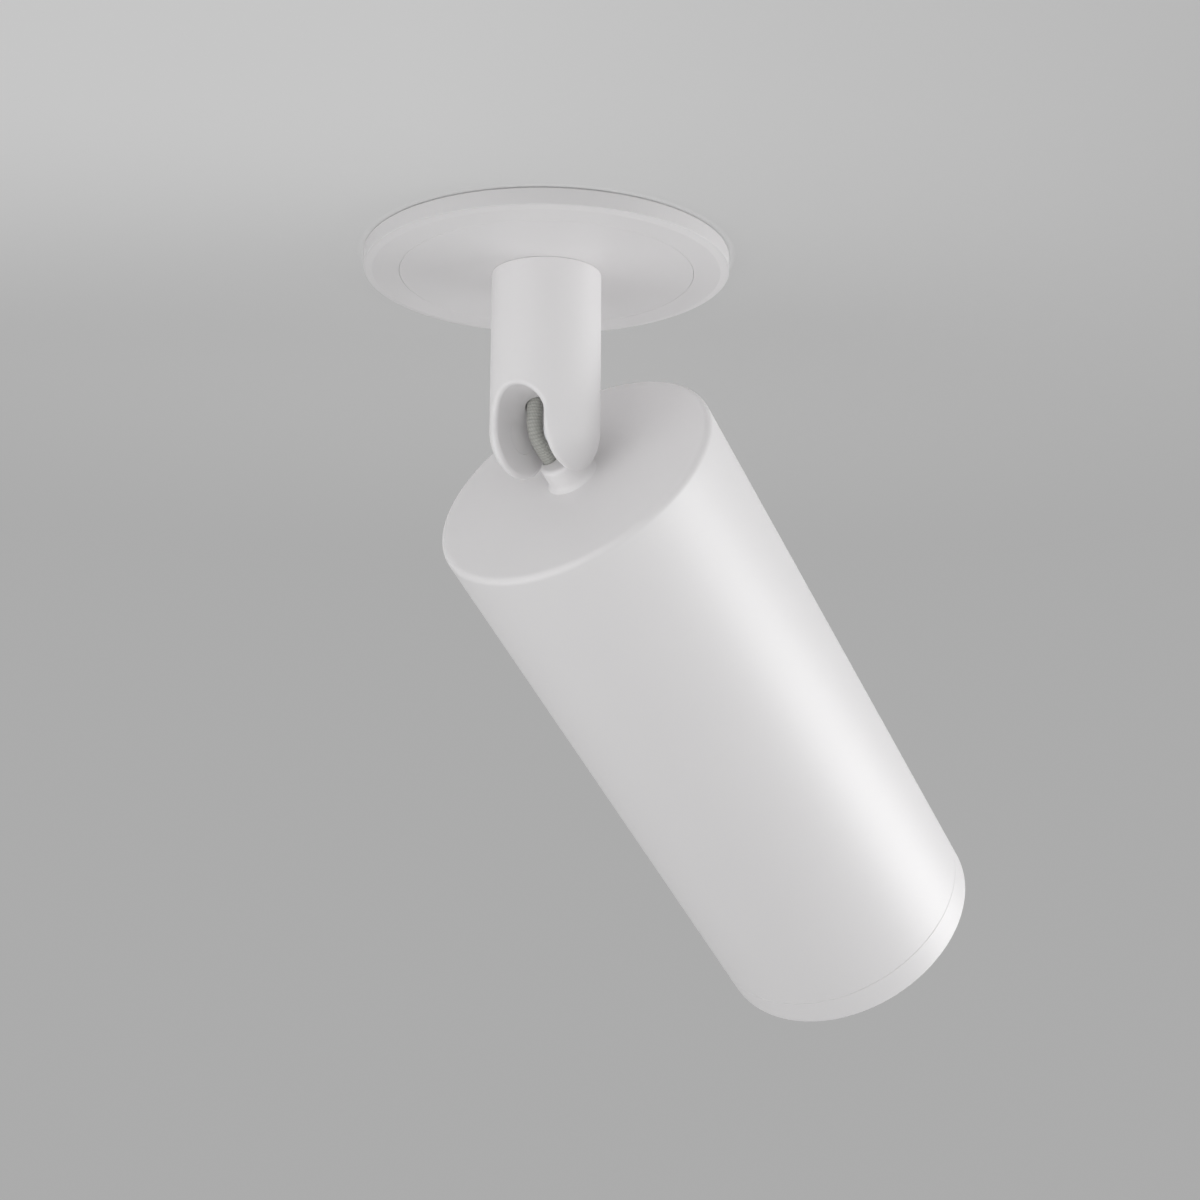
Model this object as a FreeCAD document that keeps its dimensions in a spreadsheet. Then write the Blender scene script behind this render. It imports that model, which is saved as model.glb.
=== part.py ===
import FreeCAD, Part
import math
import os

import Sketcher

# Semi-recessed ceiling spotlight, in millimetres.
# The origin is on the ceiling plane, on the axis of the ceiling plate. +Z points up into the ceiling.
# The stem turns about Z. The head tilts about a line along Y through the pivot, towards +X at rest.

Vector = FreeCAD.Vector
document = FreeCAD.newDocument("spotlight")
sheet = document.addObject("Spreadsheet::Sheet", "sizes")

DRIVING_SIZES = [
    ("fit_gap", 0.05, "radial gap of pieces that sit in one another"),
    ("running_gap", 0.05, "gap of pieces that turn on one another"),
    ("plate_thickness", 3.5, "height of the ceiling plate's rim"),
    ("disc_radius", 29.0, "visible centre disc"),
    ("flange_width", 7.0, "from the ring line out to the rim"),
    ("bevel_width", 1.7, "bevel round the underside, measured inwards"),
    ("bevel_height", 0.35, "bevel round the underside, measured upwards"),
    ("seam_gap", 0.1, "hairline between disc and trim ring"),
    ("ledge_width", 0.95, "how far the disc's shoulder reaches under the ring"),
    ("ledge_depth", 1.5, "thickness of the disc's visible shoulder"),
    ("collar_wall", 1.4, "wall of the trim ring's collar in the ceiling hole"),
    ("collar_height", 3.0, "height of that collar above the ceiling face"),
    ("can_wall", 1.0, "wall and floor of the can"),
    ("can_side_gap", 0.8, "from the terminal block's outer corners to the can's wall"),
    ("can_height", 32.0, "can above its floor"),
    ("lid_thickness", 1.2, "top of the lid, and its skirt"),
    ("lid_depth", 4.0, "how far the lid's skirt reaches into the can"),
    ("entry_offset", 13.0, "cable entry from the axis, towards -Y"),
    ("entry_radius", 3.5, "bore of the entry grommet"),
    ("grommet_wall", 1.5, "grommet between its bore and its groove"),
    ("grommet_lip", 1.4, "grommet lips, in reach and in height"),
    ("floor_screw_circle", 16.0, "radius of the floor screws' circle"),
    ("floor_screw_radius", 1.5, "thread of the floor screws"),
    ("floor_screw_head", 2.75, "head radius of the floor screws"),
    ("floor_screw_head_height", 1.8, "head height of the floor screws"),
    ("floor_screw_reach", 1.6, "thread of the floor screws in the disc"),
    ("nipple_radius", 5.0, "outside of the hollow nipple"),
    ("nipple_bore", 3.25, "bore radius of the nipple"),
    ("nipple_rise", 1.5, "nipple above its nut"),
    ("nut_flats", 14.0, "across flats of the nipple nut and the neck nut"),
    ("nut_height", 4.0, "height of those nuts"),
    ("swivel_washer_radius", 9.0, "outside of the washers of the swivel"),
    ("friction_washer_height", 1.0, "plastic washer on the can's floor"),
    ("stop_washer_height", 1.2, "tabbed washer above it"),
    ("stop_tab_width", 3.0, "tab of the stop washer"),
    ("stop_pin_radius", 1.0, "pin that the tab meets"),
    ("stop_pin_gap", 0.8, "between the round of the stop washer and the pin"),
    ("stop_pin_rise", 1.0, "pin above the stop washer"),
    ("block_depth", 8.0, "terminal block along Y"),
    ("block_height", 12.0, "terminal block along Z"),
    ("block_gap", 0.4, "from the stop pin to the terminal block"),
    ("block_entry_depth", 3.0, "cable in the top of the terminal block"),
    ("terminal_wall", 0.25, "wall between the holes of the terminal block"),
    ("terminal_screw_radius", 1.1, "screws that clamp the cores"),
    ("terminal_screw_length", 4.0, "clamp screws, top to bottom"),
    ("block_screw_radius", 0.8, "screws that hold the block down"),
    ("block_screw_head", 1.2, "their head radius and head height"),
    ("board_thickness", 10.0, "ceiling board that the clips hold at rest"),
    ("clip_pin_offset", 3.8, "clip pin from the can's wall"),
    ("clip_pin_radius", 1.0, "clip pin"),
    ("clip_eye_radius", 2.4, "round eyes of the clip arm"),
    ("clip_drop", 2.6, "underside of the arm below its pin"),
    ("clip_arm_length", 32.0, "from the pin to the tip of the arm"),
    ("clip_arm_width", 11.2, "clip arm along Y"),
    ("clip_arm_sheet", 1.0, "sheet thickness of arm, eyes and ears"),
    ("clip_window", 3.4, "from the pin to the start of the arm's blade"),
    ("clip_rib_length", 6.8, "from the pin to the end of the arm's side ribs"),
    ("clip_pad_length", 9.0, "tip pad along the arm"),
    ("clip_pad_wall", 1.0, "tip pad round the blade"),
    ("clip_side_gap", 0.4, "from the arm's eyes to the bracket's ears"),
    ("saddle_wall", 0.8, "bracket's saddle on the can"),
    ("saddle_below", 8.4, "saddle below the clip pin"),
    ("saddle_above", 8.6, "saddle above the clip pin"),
    ("rivet_radius", 1.0, "rivets of the brackets"),
    ("rivet_head", 1.6, "rivet head radius"),
    ("rivet_head_height", 0.6, "rivet head height"),
    ("rivet_inset", 2.0, "rivets from the saddle's upper and lower edges"),
    ("spring_wire", 0.8, "wire of the clip springs"),
    ("spring_pin_gap", 0.35, "from the pin to the inside of the coil"),
    ("spring_pitch", 1.3, "from one turn to the next"),
    ("spring_whole_turns", 5.0, "whole turns of a clip spring"),
    ("spring_leg_arm", 5.0, "leg that presses on the arm"),
    ("spring_leg_can", 5.5, "leg that presses on the saddle"),
    ("spring_arm_lean", 12.0, "leg on the arm, off level, in degrees"),
    ("spring_saddle_lean", 7.0, "leg on the saddle, off upright, in degrees"),
    ("stem_radius", 10.8, "outside of the stem and of its dome"),
    ("nipple_depth", 8.0, "nipple in the top of the stem"),
    ("stem_bore", 4.2, "cable bore of the stem, under the nipple"),
    ("stem_exit_rise", 12.5, "from the pivot up to where that bore narrows"),
    ("stem_exit_gap", 0.3, "cable in the narrow hole into the slot"),
    ("pivot_drop", 35.5, "tilt pivot below the ceiling"),
    ("rest_tilt", 53.3, "tilt of the head as stored, in degrees"),
    ("slot_width", 11.0, "slot through the dome"),
    ("arch_rise", 1.5, "centre of the slot's round top above the pivot"),
    ("slot_edge_round", 0.9, "soft edge of the slot"),
    ("boss_radius", 4.0, "hinge boss inside the near ear"),
    ("hinge_thread_radius", 1.5, "thread of the hinge screw"),
    ("hinge_thread_length", 3.2, "thread of the hinge screw in the boss"),
    ("hinge_shoulder_radius", 2.0, "smooth shoulder that the head turns on"),
    ("hinge_head_radius", 2.4, "head of the hinge screw"),
    ("hinge_head_height", 0.8, "head of the hinge screw"),
    ("hinge_socket", 1.25, "half across flats of the screw's socket"),
    ("hinge_washer_height", 0.45, "washers each side of the tongue"),
    ("access_radius", 3.6, "screwdriver hole in the far ear"),
    ("tongue_thickness", 1.8, "tongue of the neck"),
    ("tongue_width", 4.4, "tongue between eye and barrel"),
    ("tongue_inset", 0.2, "tongue inside the barrel's side"),
    ("eye_radius", 3.6, "round end of the tongue"),
    ("neck_radius", 4.7, "barrel of the neck"),
    ("neck_shank", 4.6, "threaded shank of the neck, through the end wall"),
    ("neck_start", 6.5, "from the pivot to the top of the barrel"),
    ("neck_flare", 0.7, "flare of the barrel where it meets the end wall"),
    ("neck_flare_height", 1.6, "height of that flare"),
    ("cap_distance", 11.5, "from the pivot to the tube's end wall"),
    ("lead_radius", 1.6, "sleeved cable"),
    ("lead_gap", 0.15, "cable in its holes"),
    ("lead_offset", 2.5, "cable beside the hinge, towards +Y"),
    ("body_radius", 30.0, "outside of the tube"),
    ("body_wall", 1.6, "wall of the tube"),
    ("end_wall", 2.5, "end wall of the tube"),
    ("tube_length", 131.0, "tube without the front ring"),
    ("front_length", 7.0, "visible length of the front ring, with its seam"),
    ("front_seam", 0.15, "hairline between tube and front ring"),
    ("cap_edge_round", 1.3, "rounded edge of the end wall"),
    ("front_edge_round", 0.8, "rounded front edge"),
    ("front_spigot", 5.0, "front ring inside the tube"),
    ("front_lip_wall", 1.5, "lip at the very front"),
    ("front_lip_reach", 1.25, "lip in front of the baffle"),
    ("front_wall", 1.5, "wall of the front ring's spigot"),
    ("baffle_wall", 1.3, "wall of the glare baffle"),
    ("baffle_land", 9.0, "straight front part of the baffle"),
    ("baffle_taper", 2.0, "how much narrower its inner end is"),
    ("bracket_sheet", 1.2, "sheet of the bracket and the holder plate"),
    ("bracket_span", 40.0, "outside of the bracket's legs"),
    ("bracket_width", 14.0, "bracket along Y"),
    ("bracket_flange", 8.0, "flanges that carry the holder plate"),
    ("lock_washer_height", 0.8, "washer under the neck nut"),
    ("lock_washer_radius", 8.0, "washer under the neck nut"),
    ("neck_thread_rise", 1.0, "neck's thread past its nut"),
    ("holder_plate_radius", 23.0, "round plate behind the lamp holder"),
    ("inner_screw_radius", 1.5, "plate screws and holder screws"),
    ("inner_screw_head", 2.5, "their head radius"),
    ("inner_screw_head_height", 1.6, "their head height"),
    ("plate_screw_reach", 4.0, "plate screws behind the plate's front"),
    ("holder_screw_reach", 6.0, "holder screws in front of the plate's back"),
    ("holder_screw_spacing", 14.0, "from one holder screw to the other"),
    ("holder_radius", 11.5, "lamp holder"),
    ("holder_length", 12.0, "lamp holder"),
    ("holder_lead_depth", 2.0, "cable in the back of the holder"),
    ("pin_spacing", 10.0, "contact pins of the lamp"),
    ("pin_radius", 1.6, "stem of a contact pin"),
    ("pin_head_radius", 2.5, "head of a contact pin"),
    ("pin_length", 7.0, "contact pin, whole"),
    ("pin_head_length", 3.0, "head of a contact pin"),
    ("lamp_recess", 26.0, "rim of the lamp behind the front end"),
    ("lamp_gap", 0.3, "from the holder to the lamp, and from the lamp to the baffle"),
    ("lamp_length", 50.0, "lamp without its pins"),
    ("lamp_base_radius", 10.0, "base of the lamp"),
    ("lamp_base_length", 9.0, "base of the lamp"),
    ("lamp_radius", 25.0, "rim of the lamp"),
    ("lamp_rim_length", 13.0, "rim of the lamp"),
    ("lamp_wall", 1.4, "rim of the lamp round its lens"),
    ("lens_thickness", 2.2, "front lens"),
    ("lens_set_back", 0.3, "lens behind the lamp's rim"),
    ("reflector_depth", 16.0, "hollow behind the lens"),
    ("reflector_floor", 7.0, "radius of the hollow's floor"),
]

for row, (alias, value, note) in enumerate(DRIVING_SIZES, 1):
    sheet.set(f"A{row}", note)
    sheet.set(f"B{row}", str(value))
    sheet.setAlias(f"B{row}", alias)
document.recompute()


class Size:
    """A number together with the sheet expression that gives it."""

    def __init__(self, value, text):
        self.value = value
        self.text = text

    def __add__(self, other):
        other = as_size(other)
        return Size(self.value + other.value, f"({self.text} + {other.text})")

    def __sub__(self, other):
        other = as_size(other)
        return Size(self.value - other.value, f"({self.text} - {other.text})")

    def __mul__(self, factor):
        factor = as_size(factor)
        return Size(self.value * factor.value, f"({self.text} * {factor.text})")

    def __truediv__(self, divisor):
        divisor = as_size(divisor)
        return Size(self.value / divisor.value, f"({self.text} / {divisor.text})")

    def __neg__(self):
        return Size(-self.value, f"(-{self.text})")

    def __radd__(self, other):
        return as_size(other) + self

    def __rsub__(self, other):
        return as_size(other) - self

    __rmul__ = __mul__


def root(area):
    """The square root of a Size."""
    return Size(math.sqrt(area.value), f"sqrt({area.text})")


def as_size(thing):
    if isinstance(thing, Size):
        return thing
    return Size(float(thing), f"({float(thing)})")


class SheetSizes:
    """Gives each named cell of the sheet as a Size."""

    def __getattr__(self, alias):
        return Size(float(sheet.get(alias)), f"sizes.{alias}")


size = SheetSizes()


# Helpers that put bound objects in the document

def bind(item, path, length):
    item.setExpression(path, as_size(length).text)


def move(item, x=0, y=0, z=0):
    """Binds an object's position to the sheet."""
    for letter, distance in (("x", x), ("y", y), ("z", z)):
        bind(item, f"Placement.Base.{letter}", distance)
    return item


def hang_on_head(item):
    """Tilts a piece made round the pivot, hanging down, to where the head is at rest."""
    item.Placement = FreeCAD.Placement(Vector(), FreeCAD.Rotation(Vector(0, -1, 0), size.rest_tilt.value))
    bind(item, "Placement.Rotation.Angle", size.rest_tilt)
    return move(item, z=-size.pivot_drop)


AXIS_TURNS = {
    "X": FreeCAD.Rotation(Vector(0, 1, 0), 90),
    "Y": FreeCAD.Rotation(Vector(1, 0, 0), -90),
    "Z": FreeCAD.Rotation(),
}


def cylinder(radius, length, x=0, y=0, z=0, axis="Z"):
    """A cylinder that starts at a point and runs along +X, +Y or +Z."""
    item = document.addObject("Part::Cylinder", "round")
    bind(item, "Radius", radius)
    bind(item, "Height", length)
    item.Placement = FreeCAD.Placement(Vector(), AXIS_TURNS[axis])
    return move(item, x, y, z)


def sphere(radius, z):
    item = document.addObject("Part::Sphere", "ball")
    bind(item, "Radius", radius)
    return move(item, z=z)


def box(low, high):
    """A box between two corners."""
    item = document.addObject("Part::Box", "block")
    for side, near, far in zip(("Length", "Width", "Height"), low, high):
        bind(item, side, as_size(far) - near)
    return move(item, *low)


def join(label, items):
    """One solid from several that meet or overlap."""
    item = document.addObject("Part::MultiFuse", label)
    item.Shapes = items
    item.Refine = True
    item.Label = label
    return item


def group(label, items):
    """Several separate solids that share one name."""
    item = document.addObject("Part::Compound", label)
    item.Links = items
    item.Label = label
    return item


def cut(label, base, tools):
    item = document.addObject("Part::Cut", label)
    item.Base = base
    item.Tool = tools[0] if len(tools) == 1 else group(f"{label}_cuts", tools)
    item.Label = label
    return item


def outline(body, role, corners):
    """A closed sketch of straight lines on one of a body's own planes, with bound corners."""
    sketch = body.newObject("Sketcher::SketchObject", "outline")
    plane = [item for item in body.Origin.OriginFeatures if item.Role == role][0]
    sketch.AttachmentSupport = [(plane, "")]
    sketch.MapMode = "FlatFace"
    corners = [(as_size(across), as_size(up)) for across, up in corners]
    points = [Vector(across.value, up.value, 0) for across, up in corners]
    count = len(points)
    for index in range(count):
        sketch.addGeometry(Part.LineSegment(points[index], points[(index + 1) % count]))
    for index in range(count):
        sketch.addConstraint(Sketcher.Constraint("Coincident", index, 2, (index + 1) % count, 1))
    for index, corner in enumerate(corners):
        for kind, distance in zip(("DistanceX", "DistanceY"), corner):
            number = sketch.addConstraint(Sketcher.Constraint(kind, -1, 1, index, 1, distance.value))
            sketch.setExpression(f"Constraints[{number}]", distance.text)
    return sketch


def new_body(label):
    body = document.addObject("PartDesign::Body", label)
    body.Label = label
    return body


def turned(label, profile):
    """A body turned about Z from corners given as (radius, height)."""
    body = new_body(label)
    sketch = outline(body, "XZ_Plane", profile)
    feature = body.newObject("PartDesign::Revolution", "turn")
    feature.Profile = sketch
    feature.ReferenceAxis = (sketch, ["V_Axis"])
    feature.Angle = 360
    document.recompute()
    return body


def padded(label, role, corners, length, midplane=False):
    """A body padded from a flat outline, square to its plane."""
    body = new_body(label)
    feature = body.newObject("PartDesign::Pad", "pad")
    feature.Profile = outline(body, role, corners)
    bind(feature, "Length", length)
    feature.Midplane = midplane
    document.recompute()
    return body


def round_rim(body, radius, height, fillet):
    """Rounds the circular edge of a turned body that lies at this radius and height."""
    names = []
    for number, edge in enumerate(body.Shape.Edges, 1):
        points = [vertex.Point for vertex in edge.Vertexes]
        rims = [abs(math.hypot(p.x, p.y) - radius.value) + abs(p.z - height.value) for p in points]
        if max(rims) < 1e-6 and edge.Length > radius.value:
            names.append(f"Edge{number}")
    sharp = body.Tip
    feature = body.newObject("PartDesign::Fillet", "rim_round")
    feature.Base = (sharp, names)
    bind(feature, "Radius", fillet)
    document.recompute()
    return body


def tube_profile(inner, outer, low, high):
    return [(inner, low), (outer, low), (outer, high), (inner, high)]


def hexagon(flats):
    """Corners of a hexagon from its size across flats."""
    reach = flats / math.sqrt(3)
    turns = [math.radians(60 * number) for number in range(6)]
    return [(reach * math.cos(turn), reach * math.sin(turn)) for turn in turns]


pieces = []


def keep(*items):
    """Lists finished pieces, each to be written under its own label."""
    pieces.extend(items)


# Levels that several pieces share

plate_underside = -size.plate_thickness
ledge_level = plate_underside + size.ledge_depth
disc_spigot = size.disc_radius - size.ledge_width
collar_inside = disc_spigot + size.fit_gap
collar_outside = collar_inside + size.collar_wall
plate_radius = size.disc_radius + size.flange_width
swivel_hole = size.nipple_radius + size.running_gap
stop_washer_low = size.friction_washer_height + size.running_gap
nipple_nut_low = stop_washer_low + size.stop_washer_height
nipple_top = nipple_nut_low + size.nut_height + size.nipple_rise
stop_circle = size.swivel_washer_radius + size.stop_pin_gap + size.stop_pin_radius
block_near = stop_circle + size.stop_pin_radius + size.block_gap
block_far = block_near + size.block_depth
block_offset = block_near + size.block_depth / 2
terminal_screw_reach = (size.lead_radius + size.fit_gap + size.terminal_wall + size.fit_gap
                        + size.terminal_screw_radius)
block_screw_reach = terminal_screw_reach + size.terminal_screw_radius + size.fit_gap + size.block_screw_head
block_half = block_screw_reach + size.block_screw_head
block_entry_level = size.block_height - size.block_entry_depth
can_inside = root(block_half * block_half + block_far * block_far) + size.can_side_gap
can_radius = can_inside + size.can_wall
stem_top = plate_underside - size.running_gap
nipple_low = stem_top - size.nipple_depth
pivot_level = -size.pivot_drop
slot_half = size.slot_width / 2
arch_level = pivot_level + size.arch_rise
exit_level = pivot_level + size.stem_exit_rise


# Ceiling plate: a trim ring and the disc that presses it against the ceiling

def make_trim_ring():
    seam = size.disc_radius + size.seam_gap
    return turned("trim_ring", [
        (seam, plate_underside),
        (plate_radius - size.bevel_width, plate_underside),
        (plate_radius, plate_underside + size.bevel_height),
        (plate_radius, 0),
        (collar_outside, 0),
        (collar_outside, size.collar_height),
        (collar_inside, size.collar_height),
        (collar_inside, ledge_level),
        (seam, ledge_level),
    ])


def floor_screw_spots():
    """Four spots on the diagonals."""
    reach = size.floor_screw_circle / math.sqrt(2)
    return [(reach * across, reach * along) for across in (-1, 1) for along in (-1, 1)]


def make_centre_disc():
    blank = turned("disc_blank", [
        (swivel_hole, plate_underside),
        (size.disc_radius, plate_underside),
        (size.disc_radius, ledge_level),
        (disc_spigot, ledge_level),
        (disc_spigot, -size.can_wall),
        (swivel_hole, -size.can_wall),
    ])
    hole = size.floor_screw_radius + size.fit_gap
    depth = size.floor_screw_reach + size.fit_gap
    holes = [cylinder(hole, depth, x, y, -size.can_wall - depth) for x, y in floor_screw_spots()]
    return cut("centre_disc", blank, holes)


# Recess can with its lid, entry grommet and floor screws

def block_screw_spots():
    return [(-block_screw_reach, block_offset), (block_screw_reach, block_offset)]


def terminal_screw_spots():
    return [(-terminal_screw_reach, block_offset), (terminal_screw_reach, block_offset)]


def rivet_levels():
    return [clip_pin_level - size.saddle_below + size.rivet_inset,
            clip_pin_level + size.saddle_above - size.rivet_inset]


def make_recess_can():
    blank = turned("can_blank", [
        (swivel_hole, -size.can_wall),
        (can_radius, -size.can_wall),
        (can_radius, size.can_height),
        (can_inside, size.can_height),
        (can_inside, 0),
        (swivel_hole, 0),
    ])
    drills = []
    for x, y in floor_screw_spots():
        drills.append(cylinder(size.floor_screw_radius + size.fit_gap, size.can_wall, x, y, -size.can_wall))
    for x, y in block_screw_spots():
        drills.append(cylinder(size.block_screw_radius + size.fit_gap, size.can_wall, x, y, -size.can_wall))
    pin_hole = size.stop_pin_radius + size.fit_gap
    drills.append(cylinder(pin_hole, size.can_wall, 0, stop_circle, -size.can_wall))
    for level in rivet_levels():
        across = can_radius * 2
        drills.append(cylinder(size.rivet_radius + size.fit_gap, across, -can_radius, 0, level, "X"))
    return cut("recess_can", blank, drills)


def make_can_lid():
    skirt = can_inside - size.fit_gap
    blank = turned("lid_blank", [
        (0, size.can_height),
        (skirt - size.lid_thickness, size.can_height),
        (skirt - size.lid_thickness, size.can_height - size.lid_depth),
        (skirt, size.can_height - size.lid_depth),
        (skirt, size.can_height),
        (can_radius, size.can_height),
        (can_radius, size.can_height + size.lid_thickness),
        (0, size.can_height + size.lid_thickness),
    ])
    hole = size.entry_radius + size.grommet_wall + size.fit_gap
    entry = cylinder(hole, size.lid_thickness, 0, -size.entry_offset, size.can_height)
    return cut("can_lid", blank, [entry])


def make_entry_grommet():
    groove = size.entry_radius + size.grommet_wall
    lip = groove + size.grommet_lip
    body = turned("entry_grommet", [
        (size.entry_radius, -size.grommet_lip),
        (lip, -size.grommet_lip),
        (lip, 0),
        (groove, 0),
        (groove, size.lid_thickness),
        (lip, size.lid_thickness),
        (lip, size.lid_thickness + size.grommet_lip),
        (size.entry_radius, size.lid_thickness + size.grommet_lip),
    ])
    return move(body, 0, -size.entry_offset, size.can_height)


def screw(radius, reach, head, head_height, x, y, z, axis="Z"):
    """A screw with a round head that starts at a seat and a thread that runs back from it."""
    seat = {"X": x, "Y": y, "Z": z}
    tip = dict(seat)
    tip[axis] = seat[axis] - reach
    thread = cylinder(radius, reach + head_height / 2, tip["X"], tip["Y"], tip["Z"], axis)
    cap = cylinder(head, head_height, x, y, z, axis)
    return join("screw", [thread, cap])


def make_floor_screws():
    reach = size.can_wall + size.floor_screw_reach
    return group("floor_screws", [
        screw(size.floor_screw_radius, reach, size.floor_screw_head, size.floor_screw_head_height, x, y, 0)
        for x, y in floor_screw_spots()
    ])


# Swivel of the stem in the can's floor

def make_friction_washer():
    return turned("friction_washer", tube_profile(
        swivel_hole, size.swivel_washer_radius, 0, size.friction_washer_height))


def make_stop_pin():
    length = size.can_wall + nipple_nut_low + size.stop_pin_rise
    pin = cylinder(size.stop_pin_radius, length, 0, stop_circle, -size.can_wall)
    pin.Label = "stop_pin"
    return pin


def make_stop_washer():
    disc = cylinder(size.swivel_washer_radius, size.stop_washer_height, z=stop_washer_low)
    half = size.stop_tab_width / 2
    tab = box((-half, -stop_circle - size.stop_pin_radius, stop_washer_low), (half, 0, nipple_nut_low))
    bore = cylinder(size.nipple_radius + size.fit_gap, size.stop_washer_height, z=stop_washer_low)
    return cut("stop_washer", join("tabbed_disc", [disc, tab]), [bore])


def make_stem_nipple():
    return turned("stem_nipple", tube_profile(size.nipple_bore, size.nipple_radius, nipple_low, nipple_top))


def hex_nut(label, bore, low):
    blank = padded(f"{label}_blank", "XY_Plane", hexagon(size.nut_flats), size.nut_height)
    move(blank, z=low)
    return cut(label, blank, [cylinder(bore, size.nut_height, z=low)])


# Terminal block in the can

def make_terminal_block():
    blank = padded("block_blank", "XY_Plane", [
        (-block_half, block_near),
        (block_half, block_near),
        (block_half, block_far),
        (-block_half, block_far),
    ], size.block_height)
    entry = size.lead_radius + size.fit_gap
    holes = [cylinder(entry, size.block_entry_depth, 0, block_offset, block_entry_level)]
    clamp = size.terminal_screw_radius + size.fit_gap
    low = size.block_height - size.terminal_screw_length
    for x, y in terminal_screw_spots():
        holes.append(cylinder(clamp, size.terminal_screw_length, x, y, low))
    for x, y in block_screw_spots():
        holes.append(cylinder(size.block_screw_radius + size.fit_gap, size.block_height, x, y, 0))
    return cut("terminal_block", blank, holes)


def make_terminal_screws():
    low = size.block_height - size.terminal_screw_length
    return group("terminal_screws", [
        cylinder(size.terminal_screw_radius, size.terminal_screw_length, x, y, low)
        for x, y in terminal_screw_spots()
    ])


def make_block_screws():
    reach = size.block_height + size.can_wall
    head = size.block_screw_head
    return group("block_screws", [
        screw(size.block_screw_radius, reach, head, head, x, y, size.block_height)
        for x, y in block_screw_spots()
    ])


# Clips that hold the can in the ceiling, mirrored left and right

clip_pin_level = size.board_thickness + size.clip_pad_wall + size.clip_drop
clip_pin_reach = can_radius + size.clip_pin_offset
clip_half = size.clip_arm_width / 2
ear_inside = clip_half + size.clip_side_gap
ear_outside = ear_inside + size.clip_arm_sheet
saddle_face = can_radius + size.fit_gap + size.saddle_wall
bracket_root = can_radius / 2


def side_box(side, near, far, low_y, high_y, low_z, high_z):
    """A box between two distances from the axis, on the right (1) or on the left (-1)."""
    low_x, high_x = (near, far) if side > 0 else (-far, -near)
    return box((low_x, low_y, low_z), (high_x, high_y, high_z))


def side_cylinder(side, radius, near, far, y, z):
    start = near if side > 0 else -far
    return cylinder(radius, far - near, start, y, z, "X")


def make_clip_bracket(label, side):
    low = clip_pin_level - size.saddle_below
    high = clip_pin_level + size.saddle_above
    height = high - low
    round_saddle = cut("saddle", cylinder(saddle_face, height, z=low),
                       [cylinder(can_radius + size.fit_gap, height, z=low)])
    window = side_box(side, bracket_root, saddle_face, -ear_outside, ear_outside, low, high)
    saddle = document.addObject("Part::Common", "saddle_sector")
    saddle.Base = round_saddle
    saddle.Tool = window
    solids = [saddle]
    for ear_side in (-1, 1):
        near_y, far_y = (ear_inside, ear_outside) if ear_side > 0 else (-ear_outside, -ear_inside)
        ear = side_box(side, bracket_root, clip_pin_reach, near_y, far_y,
                       clip_pin_level - size.clip_eye_radius, clip_pin_level + size.clip_eye_radius)
        tip = cylinder(size.clip_eye_radius, size.clip_arm_sheet,
                       clip_pin_reach * side, near_y, clip_pin_level, "Y")
        solids += [ear, tip]
    stop_top = clip_pin_level - size.clip_drop - size.running_gap
    solids.append(side_box(side, bracket_root, clip_pin_reach + size.clip_pin_radius,
                           -clip_half, clip_half, stop_top - size.clip_arm_sheet, stop_top))
    drills = [cylinder(can_radius + size.fit_gap, height, z=low)]
    drills.append(cylinder(size.clip_pin_radius + size.fit_gap, ear_outside * 2,
                           clip_pin_reach * side, -ear_outside, clip_pin_level, "Y"))
    for level in rivet_levels():
        drills.append(side_cylinder(side, size.rivet_radius + size.fit_gap,
                                    can_radius, saddle_face, 0, level))
    return cut(label, join("bracket_blank", solids), drills)


def make_clip_rivets():
    solids = []
    inner_seat = can_inside - size.fit_gap * 2
    for side in (-1, 1):
        for level in rivet_levels():
            shank = side_cylinder(side, size.rivet_radius, inner_seat - size.rivet_head_height,
                                  saddle_face + size.rivet_head_height, 0, level)
            inner = side_cylinder(side, size.rivet_head, inner_seat - size.rivet_head_height,
                                  inner_seat, 0, level)
            outer = side_cylinder(side, size.rivet_head, saddle_face,
                                  saddle_face + size.rivet_head_height, 0, level)
            solids.append(join("rivet", [shank, inner, outer]))
    return group("clip_rivets", solids)


def make_clip_pin(label, side):
    half = ear_outside + size.rivet_head_height
    shank = cylinder(size.clip_pin_radius, half * 2, clip_pin_reach * side, -half, clip_pin_level, "Y")
    heads = [cylinder(size.rivet_head, size.rivet_head_height, clip_pin_reach * side, y, clip_pin_level, "Y")
             for y in (-half, ear_outside)]
    return join(label, [shank] + heads)


def make_clip_arm(label, side):
    under = clip_pin_level - size.clip_drop
    top = under + size.clip_arm_sheet
    tip = clip_pin_reach + size.clip_arm_length
    blade_start = clip_pin_reach + size.clip_window
    solids = [side_box(side, blade_start, tip, -clip_half, clip_half, under, top)]
    for eye_side in (-1, 1):
        eye_inside = clip_half - size.clip_arm_sheet
        near_y, far_y = (eye_inside, clip_half) if eye_side > 0 else (-clip_half, -eye_inside)
        solids.append(side_box(side, clip_pin_reach, clip_pin_reach + size.clip_rib_length, near_y, far_y,
                               under, clip_pin_level))
        solids.append(cylinder(size.clip_eye_radius, size.clip_arm_sheet,
                               clip_pin_reach * side, near_y, clip_pin_level, "Y"))
    bore = cylinder(size.clip_pin_radius + size.running_gap, size.clip_arm_width,
                    clip_pin_reach * side, -clip_half, clip_pin_level, "Y")
    return cut(label, join("arm_blank", solids), [bore])


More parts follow.
